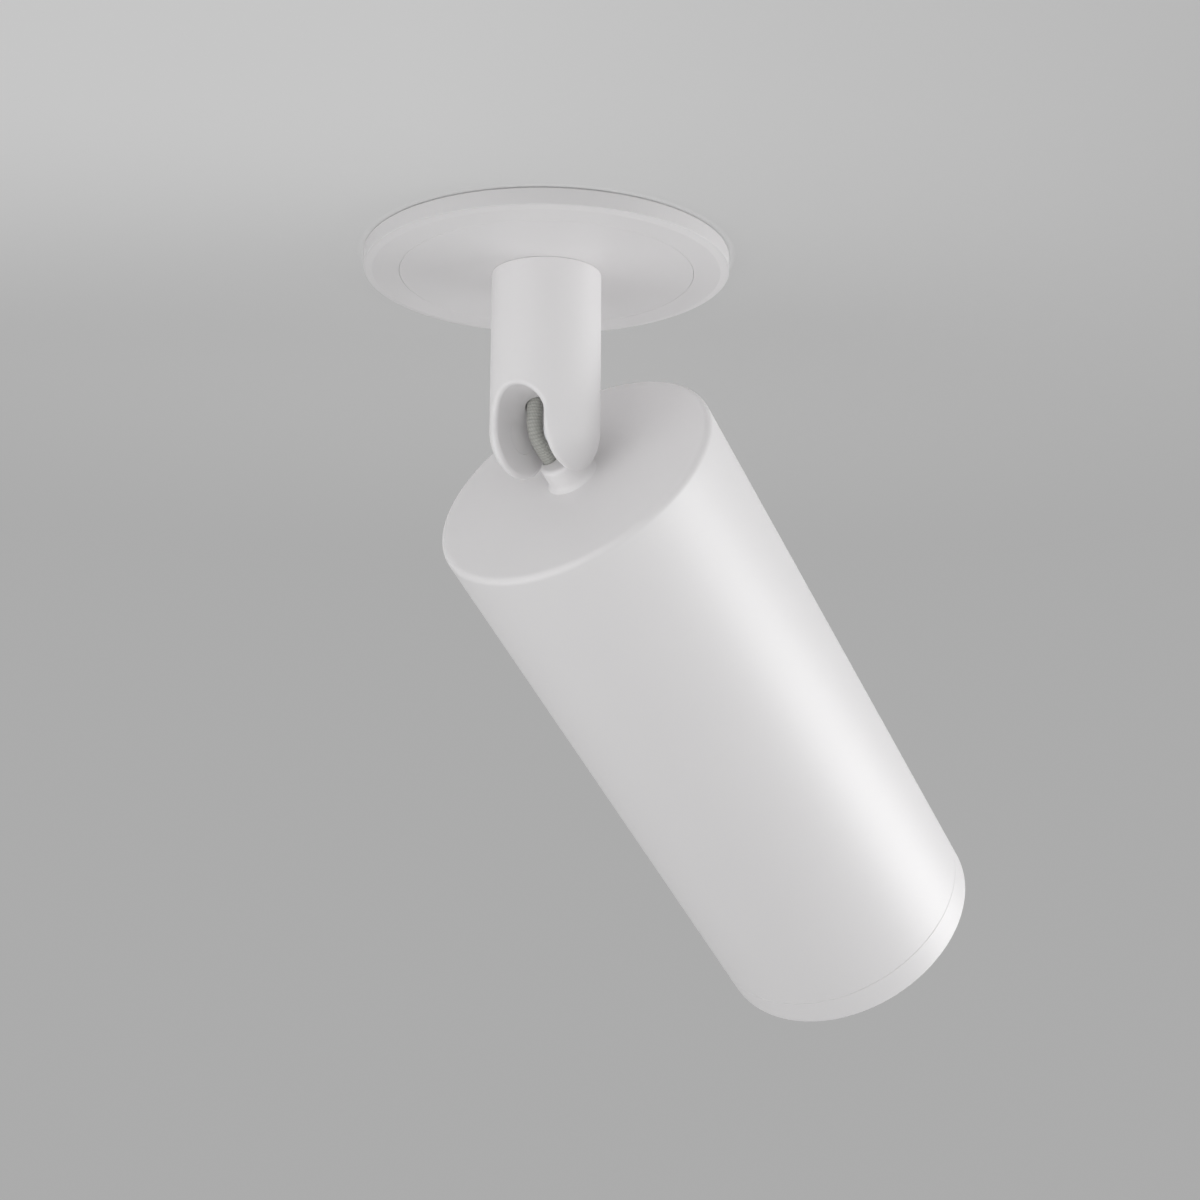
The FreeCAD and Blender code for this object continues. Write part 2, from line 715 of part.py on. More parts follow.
def make_clip_pad(label, side):
    under = clip_pin_level - size.clip_drop
    top = under + size.clip_arm_sheet
    tip = clip_pin_reach + size.clip_arm_length
    start = tip - size.clip_pad_length
    wall = size.clip_pad_wall
    sleeve = side_box(side, start, tip + wall, -clip_half - wall, clip_half + wall, under - wall, top + wall)
    gap = size.fit_gap
    pocket = side_box(side, start - wall, tip + gap, -clip_half - gap, clip_half + gap,
                      under - gap, top + gap)
    return cut(label, sleeve, [pocket])


# Wound wire and cables, made along straight runs and tangent arcs

ARC_SHARE = 0.45
COIL_STEP = 0.1


def tangent_arc(start, corner, end):
    """The arc from start to end that is tangent to both legs of an even corner."""
    middle = (start + end) * 0.5
    rise = corner - middle
    half_chord = (end - start).Length / 2
    turn = 2 * math.atan2(rise.Length, half_chord)
    top = middle + rise.normalize() * (half_chord * math.tan(turn / 4))
    return Part.Arc(start, top, end).toShape()


def biarc(start, start_way, end, end_way):
    """Two arcs that leave start and reach end along the given directions."""
    chord = end - start
    both = start_way + end_way
    bend = 2 * (1 - start_way.dot(end_way))
    along = chord.dot(both)
    leg = (math.sqrt(along * along + bend * chord.dot(chord)) - along) / bend
    first = start + start_way * leg
    second = end - end_way * leg
    join_point = (first + second) * 0.5
    return [tangent_arc(start, first, join_point), tangent_arc(join_point, second, end)]


def swept_round(path, radius, way):
    """A round rod along a wire, checked against its section times its length."""
    start = path.OrderedVertexes[0].Point
    section = Part.Wire([Part.makeCircle(radius, start, way)])
    shell = Part.BRepOffsetAPI.MakePipeShell(path)
    shell.add(section)
    shell.build()
    shell.makeSolid()
    solid = shell.shape()
    expected = math.pi * radius ** 2 * path.Length
    print(f"rod length {path.Length:.2f} mm, volume over section times length {solid.Volume / expected:.4f}")
    return solid


def rounded_route(points):
    """Straight runs joined by tangent arcs, each as large as its two runs allow."""
    edges = []
    last = points[0]
    radii = []
    for before, corner, after in zip(points, points[1:], points[2:]):
        back = before - corner
        ahead = after - corner
        leg = ARC_SHARE * min(back.Length, ahead.Length)
        enter = corner + back.normalize() * leg
        leave = corner + ahead.normalize() * leg
        turn = math.pi - (before - corner).getAngle(after - corner)
        radii.append(leg / math.tan(turn / 2))
        edges.append(Part.LineSegment(last, enter).toShape())
        edges.append(tangent_arc(enter, corner, leave))
        last = leave
    edges.append(Part.LineSegment(last, points[-1]).toShape())
    print("bend radii", [round(radius, 1) for radius in radii])
    return Part.Wire(edges)


def lead(label, points):
    """A stretch of the sleeved cable."""
    item = document.addObject("Part::Feature", label)
    way = points[1] - points[0]
    item.Shape = swept_round(rounded_route(points), size.lead_radius.value, way)
    item.Label = label
    return item


def make_clip_spring(label, side):
    """A torsion spring round the clip pin, with one leg on the arm and one on the saddle."""
    wire = size.spring_wire.value
    mean = size.clip_pin_radius.value + size.spring_pin_gap.value + wire / 2
    first = math.pi + math.radians(size.spring_saddle_lean.value)
    whole = 2 * math.pi * size.spring_whole_turns.value
    last = 1.5 * math.pi + math.radians(size.spring_arm_lean.value) + whole
    rise = size.spring_pitch.value / (2 * math.pi)
    middle = (first + last) / 2
    centre = Vector(clip_pin_reach.value * side, 0, clip_pin_level.value)

    def spot(angle):
        return centre + Vector(side * mean * math.cos(angle), rise * (angle - middle), mean * math.sin(angle))

    def heading(angle):
        return Vector(-side * mean * math.sin(angle), rise, mean * math.cos(angle)).normalize()

    steps = round((last - first) / (math.pi / 2))
    angles = [first + (last - first) * step / steps for step in range(steps + 1)]
    leg_start = spot(first) - heading(first) * size.spring_leg_can.value
    leg_end = spot(last) + heading(last) * size.spring_leg_arm.value
    edges = [Part.LineSegment(leg_start, spot(first)).toShape()]
    for here, there in zip(angles, angles[1:]):
        edges += biarc(spot(here), heading(here), spot(there), heading(there))
    edges.append(Part.LineSegment(spot(last), leg_end).toShape())
    item = document.addObject("Part::Feature", label)
    item.Shape = swept_round(Part.Wire(edges), wire / 2, heading(first))
    item.Label = label
    samples = range(int((last - first) / COIL_STEP))
    report_self_gap(label, [spot(first + COIL_STEP * sample) for sample in samples], wire)
    return item


def report_self_gap(label, points, wire):
    """Prints the least gap between one turn of a coil and any other."""
    half_turn = int(math.pi / COIL_STEP)
    gaps = []
    for index, point in enumerate(points):
        gaps += [(point - other).Length - wire for other in points[index + half_turn:]]
    print(f"{label} least gap between turns {min(gaps):.2f} mm")


# Stem with its slotted dome

def capsule(radius, top):
    """A round bar from a level down to the pivot, with a half ball at its end."""
    bar = cylinder(radius, top - pivot_level, z=pivot_level)
    return join("capsule", [bar, sphere(radius, pivot_level)])


def slot_tool():
    """The slot runs right through along X, with a round top."""
    reach = size.stem_radius * 2
    arch = cylinder(slot_half, reach * 2, -reach, 0, arch_level, "X")
    legs = box((-reach, -slot_half, pivot_level - reach), (reach, slot_half, arch_level))
    return join("slot", [arch, legs])


tongue_outside = size.neck_radius - size.tongue_inset
tongue_inside = tongue_outside - size.tongue_thickness
boss_face = tongue_outside + size.running_gap + size.hinge_washer_height
inner_washer_seat = tongue_inside - size.running_gap
screw_seat = inner_washer_seat - size.hinge_washer_height


def lies_on_slot_edge(edge):
    """True where an edge is on the stem's outside and on the slot's wall."""
    outside = size.stem_radius.value
    for share in (0.1, 0.5, 0.9):
        first, last = edge.ParameterRange
        point = edge.valueAt(first + (last - first) * share)
        drop = min(point.z - pivot_level.value, 0)
        off_surface = abs(math.sqrt(point.x ** 2 + point.y ** 2 + drop ** 2) - outside)
        above_arch = max(point.z - arch_level.value, 0)
        off_slot = abs(math.hypot(point.y, above_arch) - slot_half.value)
        if off_surface > 1e-4 or off_slot > 1e-4:
            return False
    return True


def make_stem_shell():
    """Solid but for the cable's bore, the hinge's seat and the holes of the nipple and the hinge screw."""
    slotted = cut("slotted_stem", capsule(size.stem_radius, stem_top), [slot_tool()])
    document.recompute()
    soft = document.addObject("Part::Fillet", "soft_stem")
    soft.Base = slotted
    edge_round = size.slot_edge_round.value
    soft.Edges = [(number, edge_round, edge_round) for number, edge in enumerate(slotted.Shape.Edges, 1)
                  if lies_on_slot_edge(edge)]
    boss_root = slot_half + size.hinge_thread_length / 2
    boss = cylinder(size.boss_radius, boss_root - boss_face, 0, -boss_root, pivot_level, "Y")
    seat = cylinder(size.boss_radius, boss_face, 0, -boss_face, pivot_level, "Y")
    thread = cylinder(size.hinge_thread_radius + size.fit_gap, size.hinge_thread_length + size.fit_gap, 0,
                      -boss_face - size.hinge_thread_length - size.fit_gap, pivot_level, "Y")
    access = cylinder(size.access_radius, size.stem_radius, 0, slot_half, pivot_level, "Y")
    nipple_hole = cylinder(size.nipple_radius + size.fit_gap, size.nipple_depth, z=nipple_low)
    bore = cylinder(size.stem_bore, nipple_low - exit_level, z=exit_level)
    cable_exit = cylinder(size.lead_radius + size.stem_exit_gap, exit_level - pivot_level,
                          0, size.lead_offset, pivot_level)
    return cut("stem_shell", join("bossed_stem", [soft, boss]),
               [seat, thread, access, nipple_hole, bore, cable_exit])


def make_access_plug():
    """Closes the screwdriver hole, flush with the dome outside and with the slot's wall inside."""
    core = cylinder(size.access_radius - size.fit_gap, size.stem_radius, 0, slot_half, pivot_level, "Y")
    plug = document.addObject("Part::Common", "access_plug")
    plug.Base = core
    plug.Tool = capsule(size.stem_radius, stem_top)
    plug.Label = "access_plug"
    return plug


def make_hinge_screw():
    """A shoulder screw along Y: thread in the near boss, smooth shoulder, then a low head."""
    shoulder_length = boss_face - screw_seat
    thread = cylinder(size.hinge_thread_radius, size.hinge_thread_length + shoulder_length / 2, 0,
                      -boss_face - size.hinge_thread_length, pivot_level, "Y")
    shoulder = cylinder(size.hinge_shoulder_radius, shoulder_length, 0, -boss_face, pivot_level, "Y")
    head = cylinder(size.hinge_head_radius, size.hinge_head_height, 0, -screw_seat, pivot_level, "Y")
    socket = padded("hinge_socket", "XZ_Plane", hexagon(size.hinge_socket * 2), size.hinge_head_height,
                    midplane=True)
    move(socket, 0, -screw_seat + size.hinge_head_height, pivot_level)
    return cut("hinge_screw", join("hinge_screw_blank", [thread, shoulder, head]), [socket])


def make_hinge_washers():
    bore = size.hinge_shoulder_radius + size.fit_gap
    solids = []
    for start in (-boss_face, -inner_washer_seat):
        disc = cylinder(size.eye_radius, size.hinge_washer_height, 0, start, pivot_level, "Y")
        hole = cylinder(bore, size.hinge_washer_height, 0, start, pivot_level, "Y")
        solids.append(cut("hinge_washer", disc, [hole]))
    return group("hinge_washers", solids)


# Head, made hanging straight down from the pivot and then tilted to its rest

cap_level = -size.cap_distance
inner_wall_level = cap_level - size.end_wall
bracket_top = inner_wall_level - size.bracket_sheet
neck_nut_low = bracket_top - size.lock_washer_height - size.nut_height
neck_end = neck_nut_low - size.neck_thread_rise
tube_front = cap_level - size.tube_length
front_level = tube_front - size.front_length
body_inside = size.body_radius - size.body_wall
lamp_face = front_level + size.lamp_recess
lamp_back = lamp_face + size.lamp_length
holder_front = lamp_back + size.lamp_gap
holder_back = holder_front + size.holder_length
flange_level = holder_back + size.bracket_sheet
lens_face = lamp_face + size.lens_set_back
lens_back = lens_face + size.lens_thickness
lens_pocket = size.lamp_radius - size.lamp_wall
front_spigot_radius = body_inside - size.fit_gap
front_bore = front_spigot_radius - size.front_wall
baffle_outside = front_bore - size.fit_gap
spigot_level = tube_front + size.front_spigot
lip_level = front_level + size.front_lip_wall


def make_hinge_neck():
    barrel_top = -size.neck_start
    flare_start = cap_level + size.neck_flare_height
    barrel = turned("neck_barrel", [
        (0, barrel_top),
        (size.neck_radius, barrel_top),
        (size.neck_radius, flare_start),
        (size.neck_radius + size.neck_flare, cap_level),
        (size.neck_shank, cap_level),
        (size.neck_shank, neck_end),
        (0, neck_end),
    ])
    half = size.tongue_width / 2
    strap = box((-half, -tongue_outside, barrel_top), (half, -tongue_inside, 0))
    eye = cylinder(size.eye_radius, size.tongue_thickness, 0, -tongue_outside, 0, "Y")
    bore = cylinder(size.hinge_shoulder_radius + size.running_gap, size.neck_radius,
                    0, -size.neck_radius, 0, "Y")
    lead_hole = cylinder(size.lead_radius + size.lead_gap, barrel_top - neck_end,
                         0, size.lead_offset, neck_end)
    solid = join("neck_blank", [barrel, strap, eye])
    return hang_on_head(cut("hinge_neck", solid, [bore, lead_hole]))


def make_body_tube():
    spigot_hole = size.neck_shank + size.fit_gap
    body = turned("body_tube", [
        (spigot_hole, cap_level),
        (size.body_radius, cap_level),
        (size.body_radius, tube_front),
        (body_inside, tube_front),
        (body_inside, inner_wall_level),
        (spigot_hole, inner_wall_level),
    ])
    return hang_on_head(round_rim(body, size.body_radius, cap_level, size.cap_edge_round))


def make_front_ring():
    shoulder = tube_front - size.front_seam
    body = turned("front_ring", [
        (front_bore, spigot_level),
        (front_spigot_radius, spigot_level),
        (front_spigot_radius, shoulder),
        (size.body_radius, shoulder),
        (size.body_radius, front_level),
        (front_bore - size.front_lip_reach, front_level),
        (front_bore - size.front_lip_reach, lip_level),
        (front_bore, lip_level),
    ])
    return hang_on_head(round_rim(body, size.body_radius, front_level, size.front_edge_round))


def make_glare_baffle():
    front = lip_level + size.fit_gap
    land_end = front + size.baffle_land
    back = lamp_face - size.lamp_gap
    narrow = baffle_outside - size.baffle_taper
    return hang_on_head(turned("glare_baffle", [
        (baffle_outside - size.baffle_wall, front),
        (baffle_outside, front),
        (baffle_outside, land_end),
        (narrow, back),
        (narrow - size.baffle_wall, back),
        (baffle_outside - size.baffle_wall, land_end),
    ]))


def make_lock_washer():
    low = bracket_top - size.lock_washer_height
    return hang_on_head(turned("lock_washer", tube_profile(
        size.neck_shank + size.fit_gap, size.lock_washer_radius, low, bracket_top)))


def make_holder_bracket():
    half = size.bracket_span / 2
    sheet_wall = size.bracket_sheet
    inner = half - sheet_wall
    flange_tip = half - size.bracket_flange
    flange_top = flange_level + sheet_wall
    blank = padded("bracket_strap", "XZ_Plane", [
        (-half, inner_wall_level),
        (half, inner_wall_level),
        (half, flange_level),
        (flange_tip, flange_level),
        (flange_tip, flange_top),
        (inner, flange_top),
        (inner, bracket_top),
        (-inner, bracket_top),
        (-inner, flange_top),
        (-flange_tip, flange_top),
        (-flange_tip, flange_level),
        (-half, flange_level),
    ], size.bracket_width, midplane=True)
    holes = [cylinder(size.neck_shank + size.fit_gap, sheet_wall, z=bracket_top)]
    for x in plate_screw_spots():
        holes.append(cylinder(size.inner_screw_radius + size.fit_gap, sheet_wall, x, 0, flange_level))
    return hang_on_head(cut("holder_bracket", blank, holes))


def plate_screw_spots():
    middle = size.bracket_span / 2 - size.bracket_flange / 2 - size.bracket_sheet / 2
    return [-middle, middle]


def holder_screw_spots():
    half = size.holder_screw_spacing / 2
    return [-half, half]


def make_holder_plate():
    blank = cylinder(size.holder_plate_radius, size.bracket_sheet, z=holder_back)
    hole = size.inner_screw_radius + size.fit_gap
    holes = [cylinder(size.lead_radius + size.lead_gap, size.bracket_sheet, z=holder_back)]
    holes += [cylinder(hole, size.bracket_sheet, x, 0, holder_back) for x in plate_screw_spots()]
    holes += [cylinder(hole, size.bracket_sheet, 0, y, holder_back) for y in holder_screw_spots()]
    return hang_on_head(cut("holder_plate", blank, holes))


def make_plate_screws():
    """Heads in front of the plate, threads back through the bracket's flanges."""
    solids = []
    for x in plate_screw_spots():
        head = cylinder(size.inner_screw_head, size.inner_screw_head_height, x, 0,
                        holder_back - size.inner_screw_head_height)
        thread = cylinder(size.inner_screw_radius, size.plate_screw_reach + size.inner_screw_head_height,
                          x, 0, holder_back - size.inner_screw_head_height)
        solids.append(join("plate_screw", [head, thread]))
    return hang_on_head(group("plate_screws", solids))


def make_holder_screws():
    """Heads behind the plate, threads forward into the lamp holder."""
    return hang_on_head(group("holder_screws", [
        screw(size.inner_screw_radius, size.holder_screw_reach, size.inner_screw_head,
              size.inner_screw_head_height, 0, y, flange_level)
        for y in holder_screw_spots()
    ]))


def pin_spots():
    half = size.pin_spacing / 2
    return [-half, half]


def make_lamp_holder():
    blank = cylinder(size.holder_radius, size.holder_length, z=holder_front)
    socket_depth = size.pin_length + size.fit_gap
    holes = [cylinder(size.pin_head_radius + size.fit_gap, socket_depth, x, 0, holder_front)
             for x in pin_spots()]
    thread_depth = size.holder_screw_reach - size.bracket_sheet + size.fit_gap
    holes += [cylinder(size.inner_screw_radius + size.fit_gap, thread_depth, 0, y, holder_back - thread_depth)
              for y in holder_screw_spots()]
    lead_depth = size.holder_lead_depth
    holes.append(cylinder(size.lead_radius + size.lead_gap, lead_depth, z=holder_back - lead_depth))
    return hang_on_head(cut("lamp_holder", blank, holes))


def make_lamp_pins():
    solids = []
    for x in pin_spots():
        stem = cylinder(size.pin_radius, size.pin_length, x, 0, lamp_back)
        head = cylinder(size.pin_head_radius, size.pin_head_length, x, 0,
                        lamp_back + size.pin_length - size.pin_head_length)
        solids.append(join("contact_pin", [stem, head]))
    return hang_on_head(group("lamp_pins", solids))


def make_lamp_shell():
    base_end = lamp_back - size.lamp_base_length
    rim_start = lamp_face + size.lamp_rim_length
    hollow_floor = lens_back + size.reflector_depth
    seat = lens_pocket - size.lamp_wall
    return hang_on_head(turned("lamp_shell", [
        (0, lamp_back),
        (size.lamp_base_radius, lamp_back),
        (size.lamp_base_radius, base_end),
        (size.lamp_radius, rim_start),
        (size.lamp_radius, lamp_face),
        (lens_pocket, lamp_face),
        (lens_pocket, lens_back),
        (seat, lens_back),
        (size.reflector_floor, hollow_floor),
        (0, hollow_floor),
    ]))


def make_lamp_lens():
    rim = lens_pocket - size.fit_gap
    return hang_on_head(turned("lamp_lens", tube_profile(0, rim, lens_face, lens_back)))


# Route of the cable, from the terminal block to the lamp holder, by points chosen by hand

SUPPLY_CREST = 17.0
STEM_CORNERS = (23.0, 14.0)
STEM_END = 9.5
HEAD_CORNERS = (9.0, 24.0)


def pivot_point():
    return Vector(0, 0, pivot_level.value)


def beside_hinge(rise):
    """A point of the cable's way down past the hinge, this far above the pivot."""
    return pivot_point() + Vector(0, size.lead_offset.value, rise)


def make_supply_lead():
    """Up out of the nipple and over into the top of the terminal block."""
    over = block_offset.value
    crest = nipple_top.value + SUPPLY_CREST
    return lead("supply_lead", [
        Vector(0, 0, nipple_top.value),
        Vector(0, 0, crest),
        Vector(0, over, crest),
        Vector(0, over, block_entry_level.value),
    ])


def make_stem_lead():
    """The stem carries the cable as far as its narrow hole, and the hinge bends it from there on."""
    first_corner, second_corner = STEM_CORNERS
    return lead("stem_lead", [
        Vector(0, 0, nipple_top.value),
        pivot_point() + Vector(0, 0, first_corner),
        beside_hinge(second_corner),
        beside_hinge(STEM_END),
    ])


def make_flex_lead():
    """The visible stretch: down past the pivot and into the neck."""
    tilt = math.radians(size.rest_tilt.value)
    way = Vector(math.sin(tilt), 0, -math.cos(tilt))
    return lead("flex_lead", [
        beside_hinge(STEM_END),
        beside_hinge(0),
        beside_hinge(0) + way * size.neck_start.value,
    ])


def make_head_lead():
    """Through the neck, then across to the middle of the lamp holder."""
    offset = size.lead_offset.value
    first_corner, second_corner = HEAD_CORNERS
    return hang_on_head(lead("head_lead", [
        Vector(0, offset, -size.neck_start.value),
        Vector(0, offset, neck_end.value - first_corner),
        Vector(0, 0, neck_end.value - second_corner),
        Vector(0, 0, holder_back.value - size.holder_lead_depth.value),
    ]))


keep(make_trim_ring(), make_centre_disc(), make_recess_can(), make_can_lid(), make_entry_grommet())
keep(make_floor_screws(), make_friction_washer(), make_stop_pin())
keep(make_terminal_block(), make_terminal_screws(), make_block_screws(), make_supply_lead())
for side_name, side_sign in (("left", -1), ("right", 1)):
    keep(make_clip_bracket(f"clip_bracket_{side_name}", side_sign))
    keep(make_clip_pin(f"clip_pin_{side_name}", side_sign))
    keep(make_clip_spring(f"clip_spring_{side_name}", side_sign))
    keep(make_clip_arm(f"clip_arm_{side_name}", side_sign))
    keep(make_clip_pad(f"clip_pad_{side_name}", side_sign))
keep(make_clip_rivets())
keep(make_stem_shell(), make_stem_nipple(), make_stop_washer())
keep(hex_nut("nipple_nut", size.nipple_radius + size.fit_gap, nipple_nut_low))
keep(make_hinge_screw(), make_hinge_washers(), make_access_plug(), make_stem_lead(), make_flex_lead())
keep(make_hinge_neck(), make_body_tube(), make_front_ring(), make_glare_baffle(), make_lock_washer())
keep(hang_on_head(hex_nut("neck_nut", size.neck_shank + size.fit_gap, neck_nut_low)))
keep(make_holder_bracket(), make_holder_plate(), make_plate_screws(), make_holder_screws())
keep(make_lamp_holder(), make_lamp_pins(), make_lamp_shell(), make_lamp_lens(), make_head_lead())

document.recompute()

for item in document.Objects:
    if "Invalid" in item.State or "Error" in item.State:
        raise RuntimeError(f"{item.Label} could not be built: {item.State}")
for piece in pieces:
    if piece.Shape.isNull() or not piece.Shape.isValid() or not piece.Shape.Solids:
        raise RuntimeError(f"{piece.Label} has no valid solid")

os.makedirs("parts", exist_ok=True)
for piece in pieces:
    piece.Shape.exportStep(os.path.join("parts", f"{piece.Label}.step"))
print(f"{len(pieces)} pieces written")
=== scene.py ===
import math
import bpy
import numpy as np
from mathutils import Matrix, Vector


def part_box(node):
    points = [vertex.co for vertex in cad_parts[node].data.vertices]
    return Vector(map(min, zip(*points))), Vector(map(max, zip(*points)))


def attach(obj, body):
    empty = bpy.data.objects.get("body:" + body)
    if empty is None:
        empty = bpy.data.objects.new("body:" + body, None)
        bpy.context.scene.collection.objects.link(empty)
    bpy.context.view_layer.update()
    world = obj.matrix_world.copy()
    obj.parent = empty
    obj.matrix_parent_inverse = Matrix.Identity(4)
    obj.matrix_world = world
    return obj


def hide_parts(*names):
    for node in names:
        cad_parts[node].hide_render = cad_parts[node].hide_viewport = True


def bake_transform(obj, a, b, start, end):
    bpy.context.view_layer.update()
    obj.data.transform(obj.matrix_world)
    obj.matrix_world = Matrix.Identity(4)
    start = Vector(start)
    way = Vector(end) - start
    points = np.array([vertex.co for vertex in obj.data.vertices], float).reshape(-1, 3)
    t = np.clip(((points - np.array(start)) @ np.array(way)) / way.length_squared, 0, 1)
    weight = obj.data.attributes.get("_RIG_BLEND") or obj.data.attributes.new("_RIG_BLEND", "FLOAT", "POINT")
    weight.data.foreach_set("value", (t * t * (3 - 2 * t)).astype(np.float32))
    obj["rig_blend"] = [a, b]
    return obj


bl_info = {
    "name": "Semi-recessed ceiling spotlight",
    "version": (1, 0, 0),
    "blender": (4, 5, 0),
    "location": "View3D > Sidebar > Spotlight",
    "description": "Dresses the packed frame of a ceiling spotlight with finished pieces",
    "category": "Add Mesh",
}

import bmesh
import bpy
from mathutils import Matrix, Vector

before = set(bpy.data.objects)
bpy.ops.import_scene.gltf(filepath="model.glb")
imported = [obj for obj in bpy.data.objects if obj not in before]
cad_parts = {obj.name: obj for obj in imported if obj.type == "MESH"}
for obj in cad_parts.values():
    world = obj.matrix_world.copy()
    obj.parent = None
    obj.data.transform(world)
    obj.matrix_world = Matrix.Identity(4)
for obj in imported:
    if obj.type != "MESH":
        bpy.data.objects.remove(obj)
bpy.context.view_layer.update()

MM = 0.001
FULL_TURN = 2 * math.pi
LATHE_STEPS = 256
BAFFLE_STEPS = 192
LAMP_STEPS = 128
FINE_STEPS = 96
SCREW_STEPS = 48
RIVET_STEPS = 32
SMOOTH_ANGLE = math.radians(35)
FLAT_ANGLE = math.radians(0.6)
MERGE_DISTANCE = 0.001 * MM
# Where the extra loop beside an edge round lies, in lengths of the round's leg
EDGE_LEAD = 1.35
SIDES = (("left", -1), ("right", 1))


# Sizes and colours that a user would change

def length(name, description, default):
    return bpy.props.FloatProperty(
        name=name, description=description, default=default, min=0.0, precision=5,
        subtype="DISTANCE", unit="LENGTH")


def colour(name, description, default):
    return bpy.props.FloatVectorProperty(
        name=name, description=description, default=default, size=3, min=0.0, max=1.0, subtype="COLOR")


class SpotlightSizes(bpy.types.PropertyGroup):
    """Sizes of the spotlight, in metres."""

    plate_radius: length("Plate radius", "Rim of the ceiling plate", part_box("trim_ring")[1].x)
    plate_thickness: length("Plate thickness", "Height of the plate's rim", -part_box("trim_ring")[0].z)
    disc_radius: length("Disc radius", "Visible centre disc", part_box("centre_disc")[1].x)
    bevel_width: length("Bevel width", "Bevel round the underside, measured inwards", 1.7 * MM)
    bevel_height: length("Bevel height", "Bevel round the underside, measured upwards", 0.35 * MM)
    seam_gap: length("Seam gap", "Hairline between disc and trim ring", 0.05 * MM)
    pivot_drop: length("Pivot drop", "Tilt pivot below the ceiling", 35.5 * MM)
    rest_tilt: bpy.props.FloatProperty(
        name="Rest tilt", description="Tilt of the head as stored", default=math.radians(53.3),
        subtype="ANGLE", unit="ROTATION")
    body_radius: length("Body radius", "Outside of the tube", 30.0 * MM)
    body_wall: length("Body wall", "Wall of the tube", 1.6 * MM)
    cap_distance: length("Cap distance", "From the pivot to the tube's end wall", 11.5 * MM)
    end_wall: length("End wall", "End wall of the tube", 2.5 * MM)
    tube_length: length("Tube length", "Tube without the front ring", 131.0 * MM)
    front_length: length("Front length", "Visible front ring with its seam", 7.0 * MM)
    front_seam: length("Front seam", "Hairline between tube and front ring", 0.08 * MM)
    cap_edge_round: length("Cap edge round", "Rounded edge of the end wall", 1.3 * MM)
    front_edge_round: length("Front edge round", "Rounded front edge", 0.8 * MM)
    cable_diameter: length("Cable diameter", "Sleeved cable", 3.2 * MM)
    cable_offset: length("Cable offset", "Cable beside the hinge", 2.5 * MM)
    rib_pitch: length("Rib pitch", "From one rib of the cable's sleeve to the next", 0.62 * MM)
    rib_depth: length("Rib depth", "Depth of the grooves between the sleeve's ribs", 0.11 * MM)
    groove_pitch: length("Groove pitch", "From one groove of the glare baffle to the next", 1.5 * MM)
    groove_depth: length("Groove depth", "Depth of the glare baffle's grooves", 0.55 * MM)
    spring_wire: length("Spring wire", "Wire of the clip springs", 0.8 * MM)
    spring_radius: length("Spring radius", "Middle of the coiled wire", 1.75 * MM)
    spring_pitch: length("Spring pitch", "From one turn to the next", 1.3 * MM)


class SpotlightColours(bpy.types.PropertyGroup):
    """Colours of the finishes."""

    coat: colour("Coat", "Powder coat of the visible housing", (0.835, 0.823, 0.828))
    sleeve: colour("Sleeve", "Woven sleeve of the cable", (0.50, 0.503, 0.472))
    rubber: colour("Rubber", "Grommet and clip pads", (0.018, 0.018, 0.019))
    baffle: colour("Baffle", "Glare baffle inside the front end", (0.012, 0.012, 0.013))
    ceiling: colour("Ceiling", "Ceiling that the lamp hangs from", (0.85, 0.85, 0.85))
    # Painted light: colour of the pool of light painted into the ceiling's glow
    ceiling_light: colour("Ceiling light", "Ceiling where the room's light falls", (0.555, 0.555, 0.555))
    backdrop: colour("Backdrop", "Far end of the ceiling and what lies past it", (0.41, 0.41, 0.41))


def sizes():
    return bpy.context.scene.spotlight_sizes


def colours():
    return bpy.context.scene.spotlight_colours


# Node trees, written as expressions

class Value:
    """One output of a node. Sums written with it add Math nodes to its tree."""

    def __init__(self, tree, socket=None):
        self.tree = tree
        self.socket = socket

    def add(self, kind, settings=None, inputs=None, output=0):
        """Adds a node of a type: first its settings, then the values or links of its sockets."""
        node = self.tree.nodes.new(kind)
        for name, setting in (settings or {}).items():
            setattr(node, name, setting)
        for name, value in (inputs or {}).items():
            if isinstance(value, Value):
                self.tree.links.new(value.socket, node.inputs[name])
            else:
                node.inputs[name].default_value = value
        return Value(self.tree, node.outputs[output] if len(node.outputs) else None)

    def sum(self, operation, first, second=0.0):
        return self.add("ShaderNodeMath", {"operation": operation}, {0: first, 1: second})

    def __add__(self, other):
        return self.sum("ADD", self, other)

    def __rsub__(self, other):
        return self.sum("SUBTRACT", other, self)

    def __mul__(self, other):
        return self.sum("MULTIPLY", self, other)

    def __truediv__(self, other):
        return self.sum("DIVIDE", self, other)

    def absolute(self):
        return self.sum("ABSOLUTE", self)

    def sine(self):
        return self.sum("SINE", self)

    __radd__ = __add__
    __rmul__ = __mul__


def opaque(shade):
    return (*shade, 1.0)


def darker(shade, share):
    return opaque([channel * share for channel in shade])


def mixed(factor, first, second):
    """A colour between two, by a value."""
    return factor.add("ShaderNodeMix", {"data_type": "RGBA"}, {"Factor": factor, 6: first, 7: second}, 2)


def ramp(value, start, end, low=0.0, high=1.0, shape="SMOOTHSTEP"):
    """A value that goes from low to high while another goes from start to end."""
    return value.add("ShaderNodeMapRange", {"interpolation_type": shape}, {
        "Value": value, "From Min": start, "From Max": end, "To Min": low, "To Max": high})


def noise(place, size, detail=2.0):
    """Cloudy pattern whose patches are about this size."""
    return place.add("ShaderNodeTexNoise", None, {"Vector": place, "Scale": 1.0 / size, "Detail": detail})


def vector_sum(operation, place, other, output=0):
    return place.add("ShaderNodeVectorMath", {"operation": operation}, {0: place, 1: other}, output)


def bump(height, depth, strength=1.0):
    return height.add("ShaderNodeBump", None, {"Strength": strength, "Distance": depth, "Height": height})


